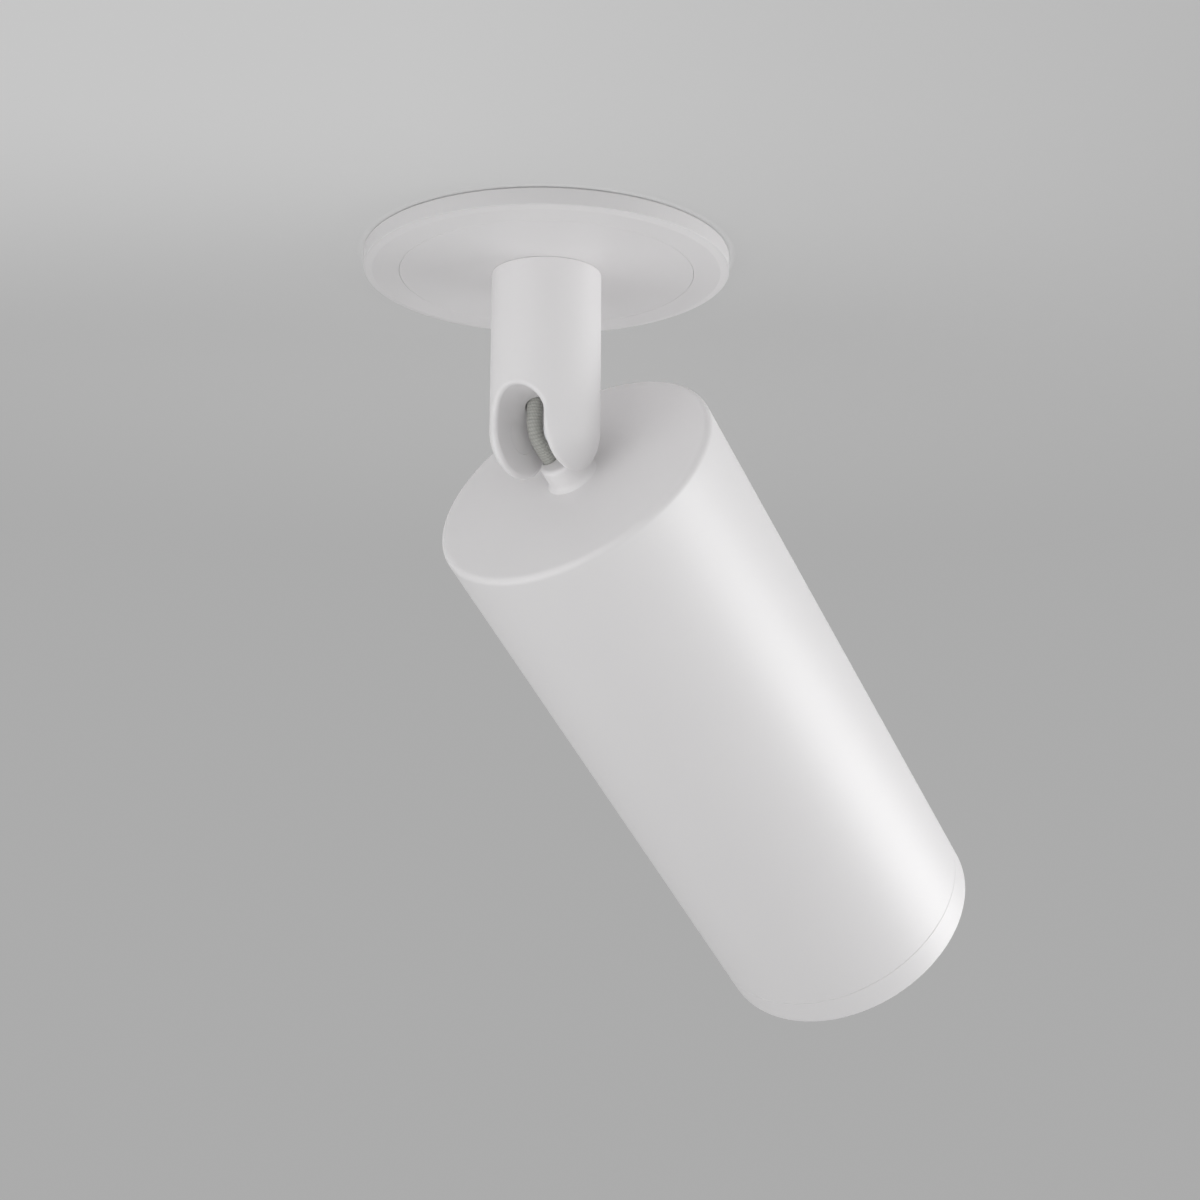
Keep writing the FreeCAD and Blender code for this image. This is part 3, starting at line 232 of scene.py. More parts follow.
def new_finish(name):
    """An empty material, and the object coordinates on which its patterns lie."""
    material = bpy.data.materials.new(name + "_finish")
    material.use_nodes = True
    material.node_tree.nodes.clear()
    start = Value(material.node_tree)
    return material, start.add("ShaderNodeTexCoord", output=3)


def finish_surface(place, **inputs):
    """Puts a principled surface with these inputs on the material."""
    names = {name.replace("_", " "): value for name, value in inputs.items()}
    surface = place.add("ShaderNodeBsdfPrincipled", None, names)
    place.add("ShaderNodeOutputMaterial", None, {"Surface": surface})


COAT_CLOUD = 22 * MM
COAT_PEEL = 0.55 * MM
COAT_DARK = 0.975
# Painted shade on the plate's rim: share of the coat's brightness kept there, and the heights above the
# underside where the greyer band starts and where it is full
PAINTED_RIM_SHADE_SHARE = 0.84
PAINTED_RIM_SHADE_START = 0.25 * MM
PAINTED_RIM_SHADE_FULL = 0.45 * MM


def coat_finish(name, painted_rim_shade_share=None):
    """Satin white powder coat: fine orange peel and faint clouds. A share below 1 paints shade onto the
    plate's rim: a greyer coat there stands in for shade.
    """
    material, place = new_finish(name)
    shade = colours().coat
    cloud = noise(place, COAT_CLOUD, 3.0)
    peel = noise(place, COAT_PEEL, 1.5)
    patch = cloud * 0.7 + peel * 0.3

    def cloud_tone_with_painted_shade(share):
        return mixed(patch, darker(shade, COAT_DARK * share), darker(shade, share))

    tone = cloud_tone_with_painted_shade(1.0)
    # Painted shade: above the bevel the rim gets a greyer copy of the coat in place of the shade there
    if painted_rim_shade_share:
        level = place.add("ShaderNodeSeparateXYZ", None, {0: place}, 2)
        underside = -sizes().plate_thickness
        rim = ramp(level, underside + PAINTED_RIM_SHADE_START, underside + PAINTED_RIM_SHADE_FULL, shape="LINEAR")
        tone = mixed(rim, tone, cloud_tone_with_painted_shade(painted_rim_shade_share))
    finish_surface(
        place, Base_Color=tone, Roughness=0.41 + cloud * 0.05 + peel * 0.05,
        Normal=bump(peel, 0.004 * MM, 0.30), IOR=1.5, Specular_IOR_Level=0.80)
    return material


METAL_STREAK = 0.5 * MM
METAL_CLOUD = 6 * MM


def metal_finish(name, shade, grain, rough, spangle=None):
    """Plain metal with drawn grain, and zinc spangle where a size for it is given."""
    material, place = new_finish(name)
    streak = noise(vector_sum("MULTIPLY", place, grain), METAL_STREAK, 3.0)
    if spangle:
        cell = place.add("ShaderNodeTexVoronoi", None, {"Vector": place, "Scale": 1.0 / spangle}, 1)
        patch = cell.add("ShaderNodeSeparateColor", None, {0: cell})
    else:
        patch = noise(place, METAL_CLOUD, 3.0)
    tone = mixed(patch * 0.6 + streak * 0.4, darker(shade, 0.80), opaque(shade))
    finish_surface(
        place, Base_Color=tone, Metallic=1.0, Roughness=rough + patch * 0.10 + streak * 0.10,
        Normal=bump(streak, 0.004 * MM, 0.5))
    return material


MOULD_CLOUD = 5 * MM


def moulded_finish(name, shade, rough, texture, depth, dark=0.9):
    """Moulded plastic, rubber or ceramic with a fine surface texture."""
    material, place = new_finish(name)
    cloud = noise(place, MOULD_CLOUD, 3.0)
    skin = noise(place, texture, 2.0)
    tone = mixed(cloud * 0.6 + skin * 0.4, darker(shade, dark), opaque(shade))
    finish_surface(
        place, Base_Color=tone, Roughness=rough + cloud * 0.08 + skin * 0.08,
        Normal=bump(skin, depth, 0.6))
    return material


WEAVE_THREADS = 18
YARN_FUZZ = 0.25 * MM
YARN_DEPTH = 0.03 * MM


def sleeve_finish():
    """Woven sleeve: pale yarn on the ribs, painted shade darkening the grooves between them, with a slanted
    weave round the cable.
    """
    material, place = new_finish("cable_sleeve")
    along = place.add("ShaderNodeAttribute", {"attribute_name": "along"}, None, 2)
    around = place.add("ShaderNodeAttribute", {"attribute_name": "around"}, None, 2)
    rib_turn = math.pi / sizes().rib_pitch
    # Painted shade: the grooves between the ribs are coloured darker where shade would fall
    painted_groove_shade_mask = (along * rib_turn).sine().absolute()
    slant = (around * (FULL_TURN * WEAVE_THREADS) + along * rib_turn).sine() * 0.5 + 0.5
    fuzz = noise(place, YARN_FUZZ, 3.0)
    shade = colours().sleeve
    yarn = mixed(fuzz * 0.5 + slant * 0.5, darker(shade, 0.80), darker(shade, 1.12))
    tone = mixed(painted_groove_shade_mask, darker(shade, 0.82), yarn)
    finish_surface(
        place, Base_Color=tone, Roughness=0.78 + fuzz * 0.15,
        Normal=bump(slant * 0.6 + fuzz * 0.4, YARN_DEPTH, 0.7), Sheen_Weight=0.15)
    return material


LENS_HAZE = 3 * MM


def lens_finish():
    """Clear glass of the lamp's front lens, with a trace of haze."""
    material, place = new_finish("lens_glass")
    haze = noise(place, LENS_HAZE, 2.0)
    finish_surface(
        place, Base_Color=mixed(haze, (0.93, 0.95, 0.95, 1.0), (0.98, 0.99, 0.99, 1.0)),
        Roughness=0.03 + haze * 0.05, IOR=1.5, Transmission_Weight=1.0)
    return material


# Metals: colour, stretch of the drawn grain, roughness, size of the zinc spangle
METALS = {
    "zinc_steel": ((0.62, 0.63, 0.64), (1, 1, 1), 0.28, 2.6 * MM),
    "spring_steel": ((0.42, 0.43, 0.45), (1, 1, 0.1), 0.22),
    "brass": ((0.72, 0.52, 0.22), (1, 1, 0.2), 0.25),
    "mirror": ((0.82, 0.82, 0.82), (1, 1, 1), 0.08),
}

# Moulded materials: colour, roughness, size and depth of the skin's texture
MOULDED = {
    "white_plastic": ((0.72, 0.72, 0.70), 0.38, 0.4 * MM, 0.008 * MM),
    "cream_ceramic": ((0.70, 0.66, 0.56), 0.30, 0.8 * MM, 0.02 * MM),
    "lamp_white": ((0.74, 0.74, 0.73), 0.34, 0.5 * MM, 0.008 * MM),
    "phosphor": ((0.80, 0.62, 0.18), 0.45, 0.3 * MM, 0.01 * MM),
}

OTHER_FINISHES = {
    "white_coat": lambda: coat_finish("white_coat"),
    # This coat has painted shade greying the plate's rim
    "trim_coat_painted_shade": lambda: coat_finish("trim_coat_painted_shade", PAINTED_RIM_SHADE_SHARE),
    "black_rubber": lambda: moulded_finish("black_rubber", colours().rubber, 0.55, 0.3 * MM, 0.02 * MM, 0.6),
    "black_baffle": lambda: moulded_finish("black_baffle", colours().baffle, 0.55, 0.25 * MM, 0.01 * MM, 0.6),
    "lens_glass": lens_finish,
    "cable_sleeve": sleeve_finish,
}


def finish(name):
    """The finish of this name, made when it is first asked for."""
    made = bpy.data.materials.get(name + "_finish")
    if made:
        return made
    if name in METALS:
        return metal_finish(name, *METALS[name])
    if name in MOULDED:
        return moulded_finish(name, *MOULDED[name])
    return OTHER_FINISHES[name]()


# Meshes

def new_piece(name, mesh):
    """Puts a mesh into the scene under its piece's name."""
    mesh.name = name
    piece = bpy.data.objects.new(name, mesh)
    bpy.context.scene.collection.objects.link(piece)
    return piece


def smooth(mesh):
    mesh.shade_smooth()
    mesh.set_sharp_from_angle(angle=SMOOTH_ANGLE)


def finish_piece(piece, body, slot, nodes, finishes=None):
    """Gives a piece its finish, and hangs it on its body in place of CAD nodes."""
    piece.data.materials.clear()
    for name in finishes or [slot]:
        piece.data.materials.append(finish(name))
    if body:
        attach(piece, body)
    if nodes:
        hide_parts(*nodes)
    return piece


def rounded(corners, steps=5):
    """Points of a turned profile from corners given as (radius, height, edge round)."""
    points = []
    count = len(corners)
    for index, corner in enumerate(corners):
        here = Vector(corner[:2])
        edge_round = corner[2] if len(corner) > 2 else 0.0
        if not edge_round:
            points.append(here)
            continue
        back = (Vector(corners[index - 1][:2]) - here).normalized()
        ahead = (Vector(corners[(index + 1) % count][:2]) - here).normalized()
        half = back.angle(ahead) / 2
        leg = edge_round / math.tan(half)
        middle = here + (back + ahead).normalized() * (edge_round / math.sin(half))
        enter = here + back * leg
        leave = here + ahead * leg
        points.append(here + back * leg * EDGE_LEAD)
        for step in range(steps + 1):
            way = (enter - middle).slerp(leave - middle, step / steps).normalized()
            points.append(middle + way * edge_round)
        points.append(here + ahead * leg * EDGE_LEAD)
    return points


def ring_points(steps, reach, height):
    """Points round the Z axis. Their reach is a number, or a function of the direction."""
    points = []
    for step in range(steps):
        turn = FULL_TURN * step / steps
        out = reach(turn) if callable(reach) else reach
        points.append(Vector((out * math.cos(turn), out * math.sin(turn), height)))
    return points


def join_rings(work, rings, closed):
    """Faces from ring to ring, and from the last to the first if closed. A ring of one point is a tip."""
    steps = max(len(ring) for ring in rings)
    made = []
    for ring in rings:
        corners = [work.verts.new(point) for point in ring]
        made.append(corners if len(corners) > 1 else corners * steps)
    following_rings = made[1:] + made[:1] if closed else made[1:]
    for ring, following in zip(made, following_rings):
        for step in range(steps):
            corners = (ring[step - 1], ring[step], following[step], following[step - 1])
            corners = list(dict.fromkeys(corners))
            if len(corners) > 2:
                work.faces.new(corners)
    return made


def finish_mesh(name, work, place=None):
    """Turns a bmesh into a smooth-shaded piece with its faces outwards."""
    bmesh.ops.recalc_face_normals(work, faces=work.faces)
    if place:
        bmesh.ops.transform(work, matrix=place, verts=work.verts)
    mesh = bpy.data.meshes.new(name)
    work.to_mesh(mesh)
    work.free()
    smooth(mesh)
    return new_piece(name, mesh)


def lathe(name, profile, steps=LATHE_STEPS, place=None):
    """A piece turned about Z from a closed profile, then put in its place."""
    work = bmesh.new()
    rings = []
    for radius, height in profile:
        rings.append(ring_points(steps if radius > MERGE_DISTANCE else 1, radius, height))
    join_rings(work, rings, True)
    return finish_mesh(name, work, place)


def rod(name, radius, low, high, place):
    return lathe(name, [(0.0, low), (radius, low), (radius, high), (0.0, high)], FINE_STEPS, place)


def double_headed(half, seat, head, shank, crown_share, crown_round, edge, edge_round=0.0):
    """Corners of a pin with a low domed head at each end."""
    corners = [
        (0.0, half),
        (head * crown_share, half, crown_round),
        (head, seat + edge, edge_round),
        (head, seat),
        (shank, seat),
    ]
    return corners + [(radius, -height, *more) for radius, height, *more in reversed(corners)]


def loft(name, rings, place=None):
    """A closed piece through rings of equally many points, capped at both ends."""
    work = bmesh.new()
    made = join_rings(work, rings, False)
    work.faces.new(made[0])
    work.faces.new(made[-1])
    return finish_mesh(name, work, place)


def head_place():
    """From a head hanging straight down with its pivot at the origin to where it is at rest."""
    drop = Matrix.Translation((0.0, 0.0, -sizes().pivot_drop))
    return drop @ Matrix.Rotation(sizes().rest_tilt, 4, Vector((0.0, -1.0, 0.0)))


def front_end():
    """Height of the front ring's end while the head hangs straight down."""
    return -(sizes().cap_distance + sizes().tube_length + sizes().front_length)


def plain_piece(name, source):
    """What an object's modifiers make of it, as a plain mesh. The source is removed."""
    evaluated = source.evaluated_get(bpy.context.evaluated_depsgraph_get())
    mesh = bpy.data.meshes.new_from_object(evaluated)
    bpy.data.objects.remove(source)
    return new_piece(name, mesh)


def soften(node, name, body, slot, width, steps=2):
    """Makes a piece from a CAD node with its sharp edges rounded."""
    work = bmesh.new()
    work.from_mesh(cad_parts[node].data)
    for layers in (work.loops.layers.float_vector, work.loops.layers.float_color):
        for layer in list(layers.values()):
            layers.remove(layer)
    bmesh.ops.remove_doubles(work, verts=work.verts, dist=MERGE_DISTANCE)
    bmesh.ops.dissolve_limit(work, angle_limit=FLAT_ANGLE, verts=work.verts, edges=work.edges)
    mesh = bpy.data.meshes.new(node)
    work.to_mesh(mesh)
    work.free()
    for attribute in [item for item in mesh.attributes if item.name == "custom_normal"]:
        mesh.attributes.remove(attribute)
    source = new_piece("edge_work", mesh)
    bevel = source.modifiers.new("edge", "BEVEL")
    bevel.width = width
    bevel.segments = steps
    bevel.limit_method = "ANGLE"
    bevel.angle_limit = SMOOTH_ANGLE
    smooth(mesh)
    weighted = source.modifiers.new("normals", "WEIGHTED_NORMAL")
    weighted.keep_sharp = True
    finish_piece(plain_piece(name, source), body, slot, [node])


def joined(name, base, added, removed):
    """One closed piece from a base with pieces added to it and then pieces taken out of it."""
    for others, operation in ((added, "UNION"), (removed, "DIFFERENCE")):
        for other in others:
            step = base.modifiers.new(other.name, "BOOLEAN")
            step.operation = operation
            step.solver = "EXACT"
            step.object = other
    piece = plain_piece(name, base)
    for other in added + removed:
        bpy.data.objects.remove(other)
    smooth(piece.data)
    return piece


# Geometry node trees

SLEEVE_SIDES = 32
RIB_STEPS = 8
WIRE_SIDES = 20
CURVE_ORDER = 3
CURVE_STEPS = 32


def new_tree(name, inputs):
    """A geometry node tree with these named inputs, and its input sockets as values."""
    tree = bpy.data.node_groups.new(name, "GeometryNodeTree")
    tree.interface.new_socket("Geometry", in_out="INPUT", socket_type="NodeSocketGeometry")
    for title, kind in inputs.items():
        tree.interface.new_socket(title, in_out="INPUT", socket_type=kind)
    tree.interface.new_socket("Geometry", in_out="OUTPUT", socket_type="NodeSocketGeometry")
    entry = tree.nodes.new("NodeGroupInput")
    return tree, {socket.name: Value(tree, socket) for socket in entry.outputs if socket.name}


def end_tree(geometry, material):
    """Ends a tree in real geometry with its finish."""
    real = geometry.add("GeometryNodeRealizeInstances", None, {"Geometry": geometry})
    dressed = real.add("GeometryNodeSetMaterial", None, {"Geometry": real, "Material": material})
    dressed.add("NodeGroupOutput", None, {0: dressed})


def round_profile(start, sides, radius):
    return start.add("GeometryNodeCurvePrimitiveCircle", {"mode": "RADIUS"}, {
        "Resolution": sides, "Radius": radius})


def marked(geometry, name, value):
    """Geometry that carries a value under a name at its points."""
    return geometry.add("GeometryNodeStoreNamedAttribute", {"data_type": "FLOAT", "domain": "POINT"}, {
        "Geometry": geometry, "Name": name, "Value": value})


def sleeve_tree(name):
    """A round sleeve with ribs across it, along a curve."""
    tree, inputs = new_tree(name, {
        "Radius": "NodeSocketFloat", "Pitch": "NodeSocketFloat", "Depth": "NodeSocketFloat",
        "Finish": "NodeSocketMaterial"})
    start = Value(tree)
    fine = start.add("GeometryNodeResampleCurve", {"mode": "LENGTH"}, {
        "Curve": inputs["Geometry"], "Length": inputs["Pitch"] / RIB_STEPS})
    run = start.add("GeometryNodeSplineParameter", output=1)
    share = start.add("GeometryNodeSplineParameter", output=0)
    groove = 1 - (run * math.pi / inputs["Pitch"]).sine().absolute()
    scale = 1 - groove * groove * inputs["Depth"] / inputs["Radius"]
    ring = marked(round_profile(start, SLEEVE_SIDES, inputs["Radius"]), "around", share)
    skin = start.add("GeometryNodeCurveToMesh", None, {
        "Curve": marked(fine, "along", run), "Profile Curve": ring, "Scale": scale, "Fill Caps": True})
    end_tree(skin, inputs["Finish"])
    return tree


def wire_tree(name):
    """A round wire along a curve, closed at both ends."""
    tree, inputs = new_tree(name, {"Radius": "NodeSocketFloat", "Finish": "NodeSocketMaterial"})
    start = Value(tree)
    ring = round_profile(start, WIRE_SIDES, inputs["Radius"])
    skin = start.add("GeometryNodeCurveToMesh", None, {
        "Curve": inputs["Geometry"], "Profile Curve": ring, "Fill Caps": True})
    end_tree(skin, inputs["Finish"])
    return tree


def set_out_tree(name):
    """Copies of one template, one at each point of a mesh."""
    tree, inputs = new_tree(name, {"Template": "NodeSocketObject", "Finish": "NodeSocketMaterial"})
    start = Value(tree)
    template = start.add("GeometryNodeObjectInfo", None, {"Object": inputs["Template"]}, "Geometry")
    copies = start.add("GeometryNodeInstanceOnPoints", None, {
        "Points": inputs["Geometry"], "Instance": template})
    end_tree(copies, inputs["Finish"])
    return tree


TREES = {"ribbed_sleeve": sleeve_tree, "round_wire": wire_tree, "set_out": set_out_tree}


def run_tree(name, source, tree_name, inputs):
    """Runs a tree on an object and gives the result as a plain mesh piece."""
    tree = bpy.data.node_groups.get(tree_name) or TREES[tree_name](tree_name)
    modifier = source.modifiers.new("build", "NODES")
    modifier.node_group = tree
    for socket in tree.interface.items_tree:
        if socket.in_out == "INPUT" and socket.name in inputs:
            modifier[socket.identifier] = inputs[socket.name]
    piece = plain_piece(name, source)
    smooth(piece.data)
    return piece


def curve_object(kind, points):
    """A curve of one open spline through or near points in metres."""
    data = bpy.data.curves.new("route", "CURVE")
    data.dimensions = "3D"
    spline = data.splines.new(kind)
    spline.points.add(len(points) - 1)
    for spot, place in zip(spline.points, points):
        spot.co = (*place, 1.0)
    if kind == "NURBS":
        spline.order_u = CURVE_ORDER
        spline.use_endpoint_u = True
        spline.resolution_u = CURVE_STEPS
    route = bpy.data.objects.new("route", data)
    bpy.context.scene.collection.objects.link(route)
    return route


def set_out(name, template, spots, body, slot, node):
    """Sets a template out on spots as one finished piece. The template is removed."""
    mesh = bpy.data.meshes.new(name)
    mesh.from_pydata(spots, [], [])
    piece = run_tree(name, new_piece(name + "_spots", mesh), "set_out", {
        "Template": template, "Finish": finish(slot)})
    bpy.data.objects.remove(template)
    finish_piece(piece, body, slot, [node])


# Operators, one for each piece or group of like pieces

class SPOTLIGHT_OT_cables(bpy.types.Operator):
    """Run the sleeved cable from the terminal block through the hinge to the lamp holder"""

    bl_idname = "spotlight.cables"
    bl_label = "Cables"

    def execute(self, context):
        size = sizes()
        hang = head_place()
        beside = Vector((0.0, size.cable_offset, 0.0))
        pivot = Vector((0.0, 0.0, -size.pivot_drop))

        def in_can(aside, rise):
            return Vector((0.0, aside, rise)) * MM

        def in_stem(rise, share=1.0):
            return pivot + beside * share + Vector((0.0, 0.0, rise)) * MM

        def in_head(drop, share=1.0):
            return hang @ (beside * share - Vector((0.0, 0.0, drop)) * MM)

        nipple_top = 7.75
        stem_top = nipple_top - 0.1
        crest = 24.75
        block_aside = 16.2
        block_top = 9.0
        joint = in_stem(9.5)
        mouth = in_head(6.5)
        routes = [
            ("supply_cable", "supply_lead", "base",
             [in_can(0.0, nipple_top), in_can(0.0, crest), in_can(block_aside, crest),
              in_can(block_aside, block_top)]),
            ("stem_cable", "stem_lead", "stem",
             [in_can(0.0, stem_top), in_stem(23.0, 0.0), in_stem(14.0), joint]),
            ("hinge_cable", "flex_lead", None,
             [joint, in_stem(5.8), in_stem(0.0), in_head(5.8), mouth]),
            ("head_cable", "head_lead", "head",
             [mouth, in_head(30.0), in_head(45.0, 0.0), in_head(63.2, 0.0)]),
        ]
        for name, node, body, points in routes:
            piece = run_tree(name, curve_object("NURBS", points), "ribbed_sleeve", {
                "Radius": size.cable_diameter / 2, "Pitch": size.rib_pitch,
                "Depth": size.rib_depth, "Finish": finish("cable_sleeve")})
            finish_piece(piece, body, "cable_sleeve", [node])
            if not body:
                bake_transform(piece, "stem", "head", start=in_stem(7.0), end=mouth)
        return {"FINISHED"}


class SPOTLIGHT_OT_ceiling_plate(bpy.types.Operator):
    """Turn the trim ring and the centre disc of the ceiling plate"""

    bl_idname = "spotlight.ceiling_plate"
    bl_label = "Ceiling plate"

    def execute(self, context):
        size = sizes()
        seam_round = 0.04 * MM
        rim_round = 0.12 * MM
        collar_round = 0.3 * MM
        low = -size.plate_thickness
        ledge = low + 1.5 * MM
        seam = size.disc_radius + size.seam_gap
        collar = seam - 1.0 * MM
        collar_outside = collar + 1.4 * MM
        collar_top = 3.0 * MM
        ring = lathe("plate_trim_ring", rounded([
            (seam, low, seam_round),
            (size.plate_radius - size.bevel_width, low, 0.5 * MM),
            (size.plate_radius, low + size.bevel_height, rim_round),
            (size.plate_radius, 0.0, rim_round),
            (collar_outside, 0.0),
            (collar_outside, collar_top, collar_round),
            (collar, collar_top, collar_round),
            (collar, ledge),
            (seam, ledge),
        ]))
        # The trim ring takes the coat with painted shade on its rim
        finish_piece(ring, "base", "white_coat", ["trim_ring"], ["trim_coat_painted_shade"])
        soften("centre_disc", "plate_centre_disc", "base", "white_coat", seam_round)
        return {"FINISHED"}


class SPOTLIGHT_OT_head_tube(bpy.types.Operator):
    """Turn the head's tube with its end wall, and the front ring"""

    bl_idname = "spotlight.head_tube"
    bl_label = "Head tube"

    def execute(self, context):
        size = sizes()
        arc_steps = 8
        seam_round = 0.05 * MM
        cap = -size.cap_distance
        front = cap - size.tube_length
        inside = size.body_radius - size.body_wall
        neck_hole = 4.65 * MM
        tube = lathe("head_tube", rounded([
            (neck_hole, cap),
            (size.body_radius, cap, size.cap_edge_round),
            (size.body_radius, front, seam_round),
            (inside, front, 0.10 * MM),
            (inside, cap - size.end_wall),
            (neck_hole, cap - size.end_wall),
        ], arc_steps), place=head_place())
        finish_piece(tube, "head", "white_coat", ["body_tube"])
        end = front_end()
        shoulder = front - size.front_seam
        spigot = inside - 0.05 * MM
        spigot_end = front + 5.0 * MM
        bore = inside - 1.55 * MM
        lip = bore - 1.25 * MM
        lip_back = end + 1.5 * MM
        ring = lathe("head_front_ring", rounded([
            (bore, spigot_end, 0.2 * MM),
            (spigot, spigot_end, 0.4 * MM),
            (spigot, shoulder),
            (size.body_radius, shoulder, seam_round),
            (size.body_radius, end, size.front_edge_round),
            (lip, end, 0.4 * MM),
            (lip, lip_back, 0.2 * MM),
            (bore, lip_back),
        ], arc_steps), place=head_place())
        finish_piece(ring, "head", "white_coat", ["front_ring"])
        return {"FINISHED"}


def tongue_outline(side):
    """The tongue of the neck, round about the pivot, as a ring of points in a plane of one Y."""
    half = 2.2 * MM
    eye = 3.6 * MM
    foot = -7.5 * MM
    arc_steps = 40
    first = -math.acos(half / eye)
    turns = [first + (math.pi - 2 * first) * step / arc_steps for step in range(arc_steps + 1)]
    points = [Vector((eye * math.cos(turn), side, eye * math.sin(turn))) for turn in turns]
    return [Vector((half, side, foot)), *points, Vector((-half, side, foot))]


class SPOTLIGHT_OT_neck(bpy.types.Operator):
    """Shape the neck that the head hangs by, with its tongue, its eye and the hole for the cable"""

    bl_idname = "spotlight.neck"
    bl_label = "Neck"

    def execute(self, context):
        cap = -sizes().cap_distance
        low = cap - 9.5 * MM
        top = -6.5 * MM
        waist = 4.7 * MM
        spigot = 4.6 * MM
        foot = 5.4 * MM
        arc_steps = 8
        tongue_sides = (-4.5 * MM, -2.7 * MM)
        eye_radius = 2.05 * MM
        eye_reach = 9 * MM
        way_radius = 1.75 * MM
        barrel = lathe("neck_barrel", rounded([
            (0.0, top),
            (waist, top, 0.9 * MM),
            (waist, cap + 0.7 * MM, 1.2 * MM),
            (foot, cap),
            (spigot, cap),
            (spigot, low, 0.3 * MM),
            (0.0, low),
        ], arc_steps), FINE_STEPS)
        tongue = loft("neck_tongue", [tongue_outline(side) for side in tongue_sides])
        eye_hole = rod("eye_hole", eye_radius, 0.0, eye_reach, Matrix.Rotation(math.pi / 2, 4, "X"))
        beside = Matrix.Translation((0.0, sizes().cable_offset, 0.0))
        cable_way = rod("cable_way", way_radius, low * 2, 0.0, beside)
        neck = joined("head_neck", barrel, [tongue], [eye_hole, cable_way])
        neck.data.transform(head_place())
        finish_piece(neck, "head", "white_coat", ["hinge_neck"])
        return {"FINISHED"}


class SPOTLIGHT_OT_clip_springs(bpy.types.Operator):
    """Wind the two torsion springs that press the clip arms down"""

    bl_idname = "spotlight.clip_springs"
    bl_label = "Clip springs"

    def execute(self, context):
        size = sizes()
        reach = size.spring_radius
        rise = size.spring_pitch / FULL_TURN
        first = math.radians(187)
        last = math.radians(282) + 5 * FULL_TURN
        middle = (first + last) / 2
        turn_steps = 24
        fixed_leg = 5.5 * MM
        moving_leg = 5.0 * MM
        count = round((last - first) / FULL_TURN * turn_steps)
        for name, side in SIDES:
            low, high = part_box("clip_pin_" + name)
            pin = (low + high) / 2

            def spot(angle):
                return pin + Vector((side * reach * math.cos(angle), rise * (angle - middle),
                                     reach * math.sin(angle)))

            def heading(angle):
                return Vector((-side * reach * math.sin(angle), rise, reach * math.cos(angle))).normalized()

            angles = [first + (last - first) * step / count for step in range(count + 1)]
            points = [spot(first) - heading(first) * fixed_leg]
            points += [spot(angle) for angle in angles]
            points.append(spot(last) + heading(last) * moving_leg)
            piece = run_tree("clip_coil_" + name, curve_object("POLY", points), "round_wire", {
                "Radius": size.spring_wire / 2, "Finish": finish("spring_steel")})
            finish_piece(piece, None, "spring_steel", ["clip_spring_" + name])
            half = Vector((0.0, rise * (last - first) / 2, 0.0))
            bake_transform(piece, "base", "clip_" + name, start=pin - half, end=pin + half)
        return {"FINISHED"}


class SPOTLIGHT_OT_stem(bpy.types.Operator):
    """Soften the stem with its slotted dome, and the plug in its far ear"""

    bl_idname = "spotlight.stem"
    bl_label = "Stem"

    def execute(self, context):
        soften("stem_shell", "stem_body", "stem", "white_coat", width=0.02 * MM, steps=3)
        soften("access_plug", "stem_plug", "stem", "white_coat", width=0.04 * MM, steps=3)
        return {"FINISHED"}


class SPOTLIGHT_OT_hinge_parts(bpy.types.Operator):
    """Soften the screw and the washers that the head tilts on"""

    bl_idname = "spotlight.hinge_parts"
    bl_label = "Hinge parts"

    def execute(self, context):
        for node, name in (("hinge_screw", "hinge_bolt"), ("hinge_washers", "hinge_rings")):
            soften(node, name, "stem", "zinc_steel", width=0.12 * MM)
        return {"FINISHED"}


# Corners of one groove: share of the pitch, share of the depth
GROOVE = ((0.30, 0.0), (0.42, 1.0), (0.70, 1.0), (0.98, 0.0))


class SPOTLIGHT_OT_glare_baffle(bpy.types.Operator):
    """Turn the black baffle with its fine grooves behind the front ring"""

    bl_idname = "spotlight.glare_baffle"
    bl_label = "Glare baffle"

    def execute(self, context):
        size = sizes()
        front = front_end() + 1.55 * MM
        land = front + 9.0 * MM
        back = front + 24.15 * MM
        outside = size.body_radius - size.body_wall - 1.6 * MM
        wide = outside - 1.3 * MM
        taper = 2.0 * MM
        profile = [
            (wide, front), (outside, front), (outside, land), (outside - taper, back), (wide - taper, back)]
        count = int((back - front) / size.groove_pitch)
        pitch = (back - front) / count
        for number in range(count):
            high = back - pitch * number
            for share, depth in GROOVE:
                level = high - pitch * share
                narrowing = taper * max(level - land, 0.0) / (back - land)
                profile.append((wide - narrowing + size.groove_depth * depth, level))
        baffle = lathe("head_glare_baffle", profile, BAFFLE_STEPS, head_place())
        finish_piece(baffle, "head", "black_baffle", ["glare_baffle"])
        return {"FINISHED"}


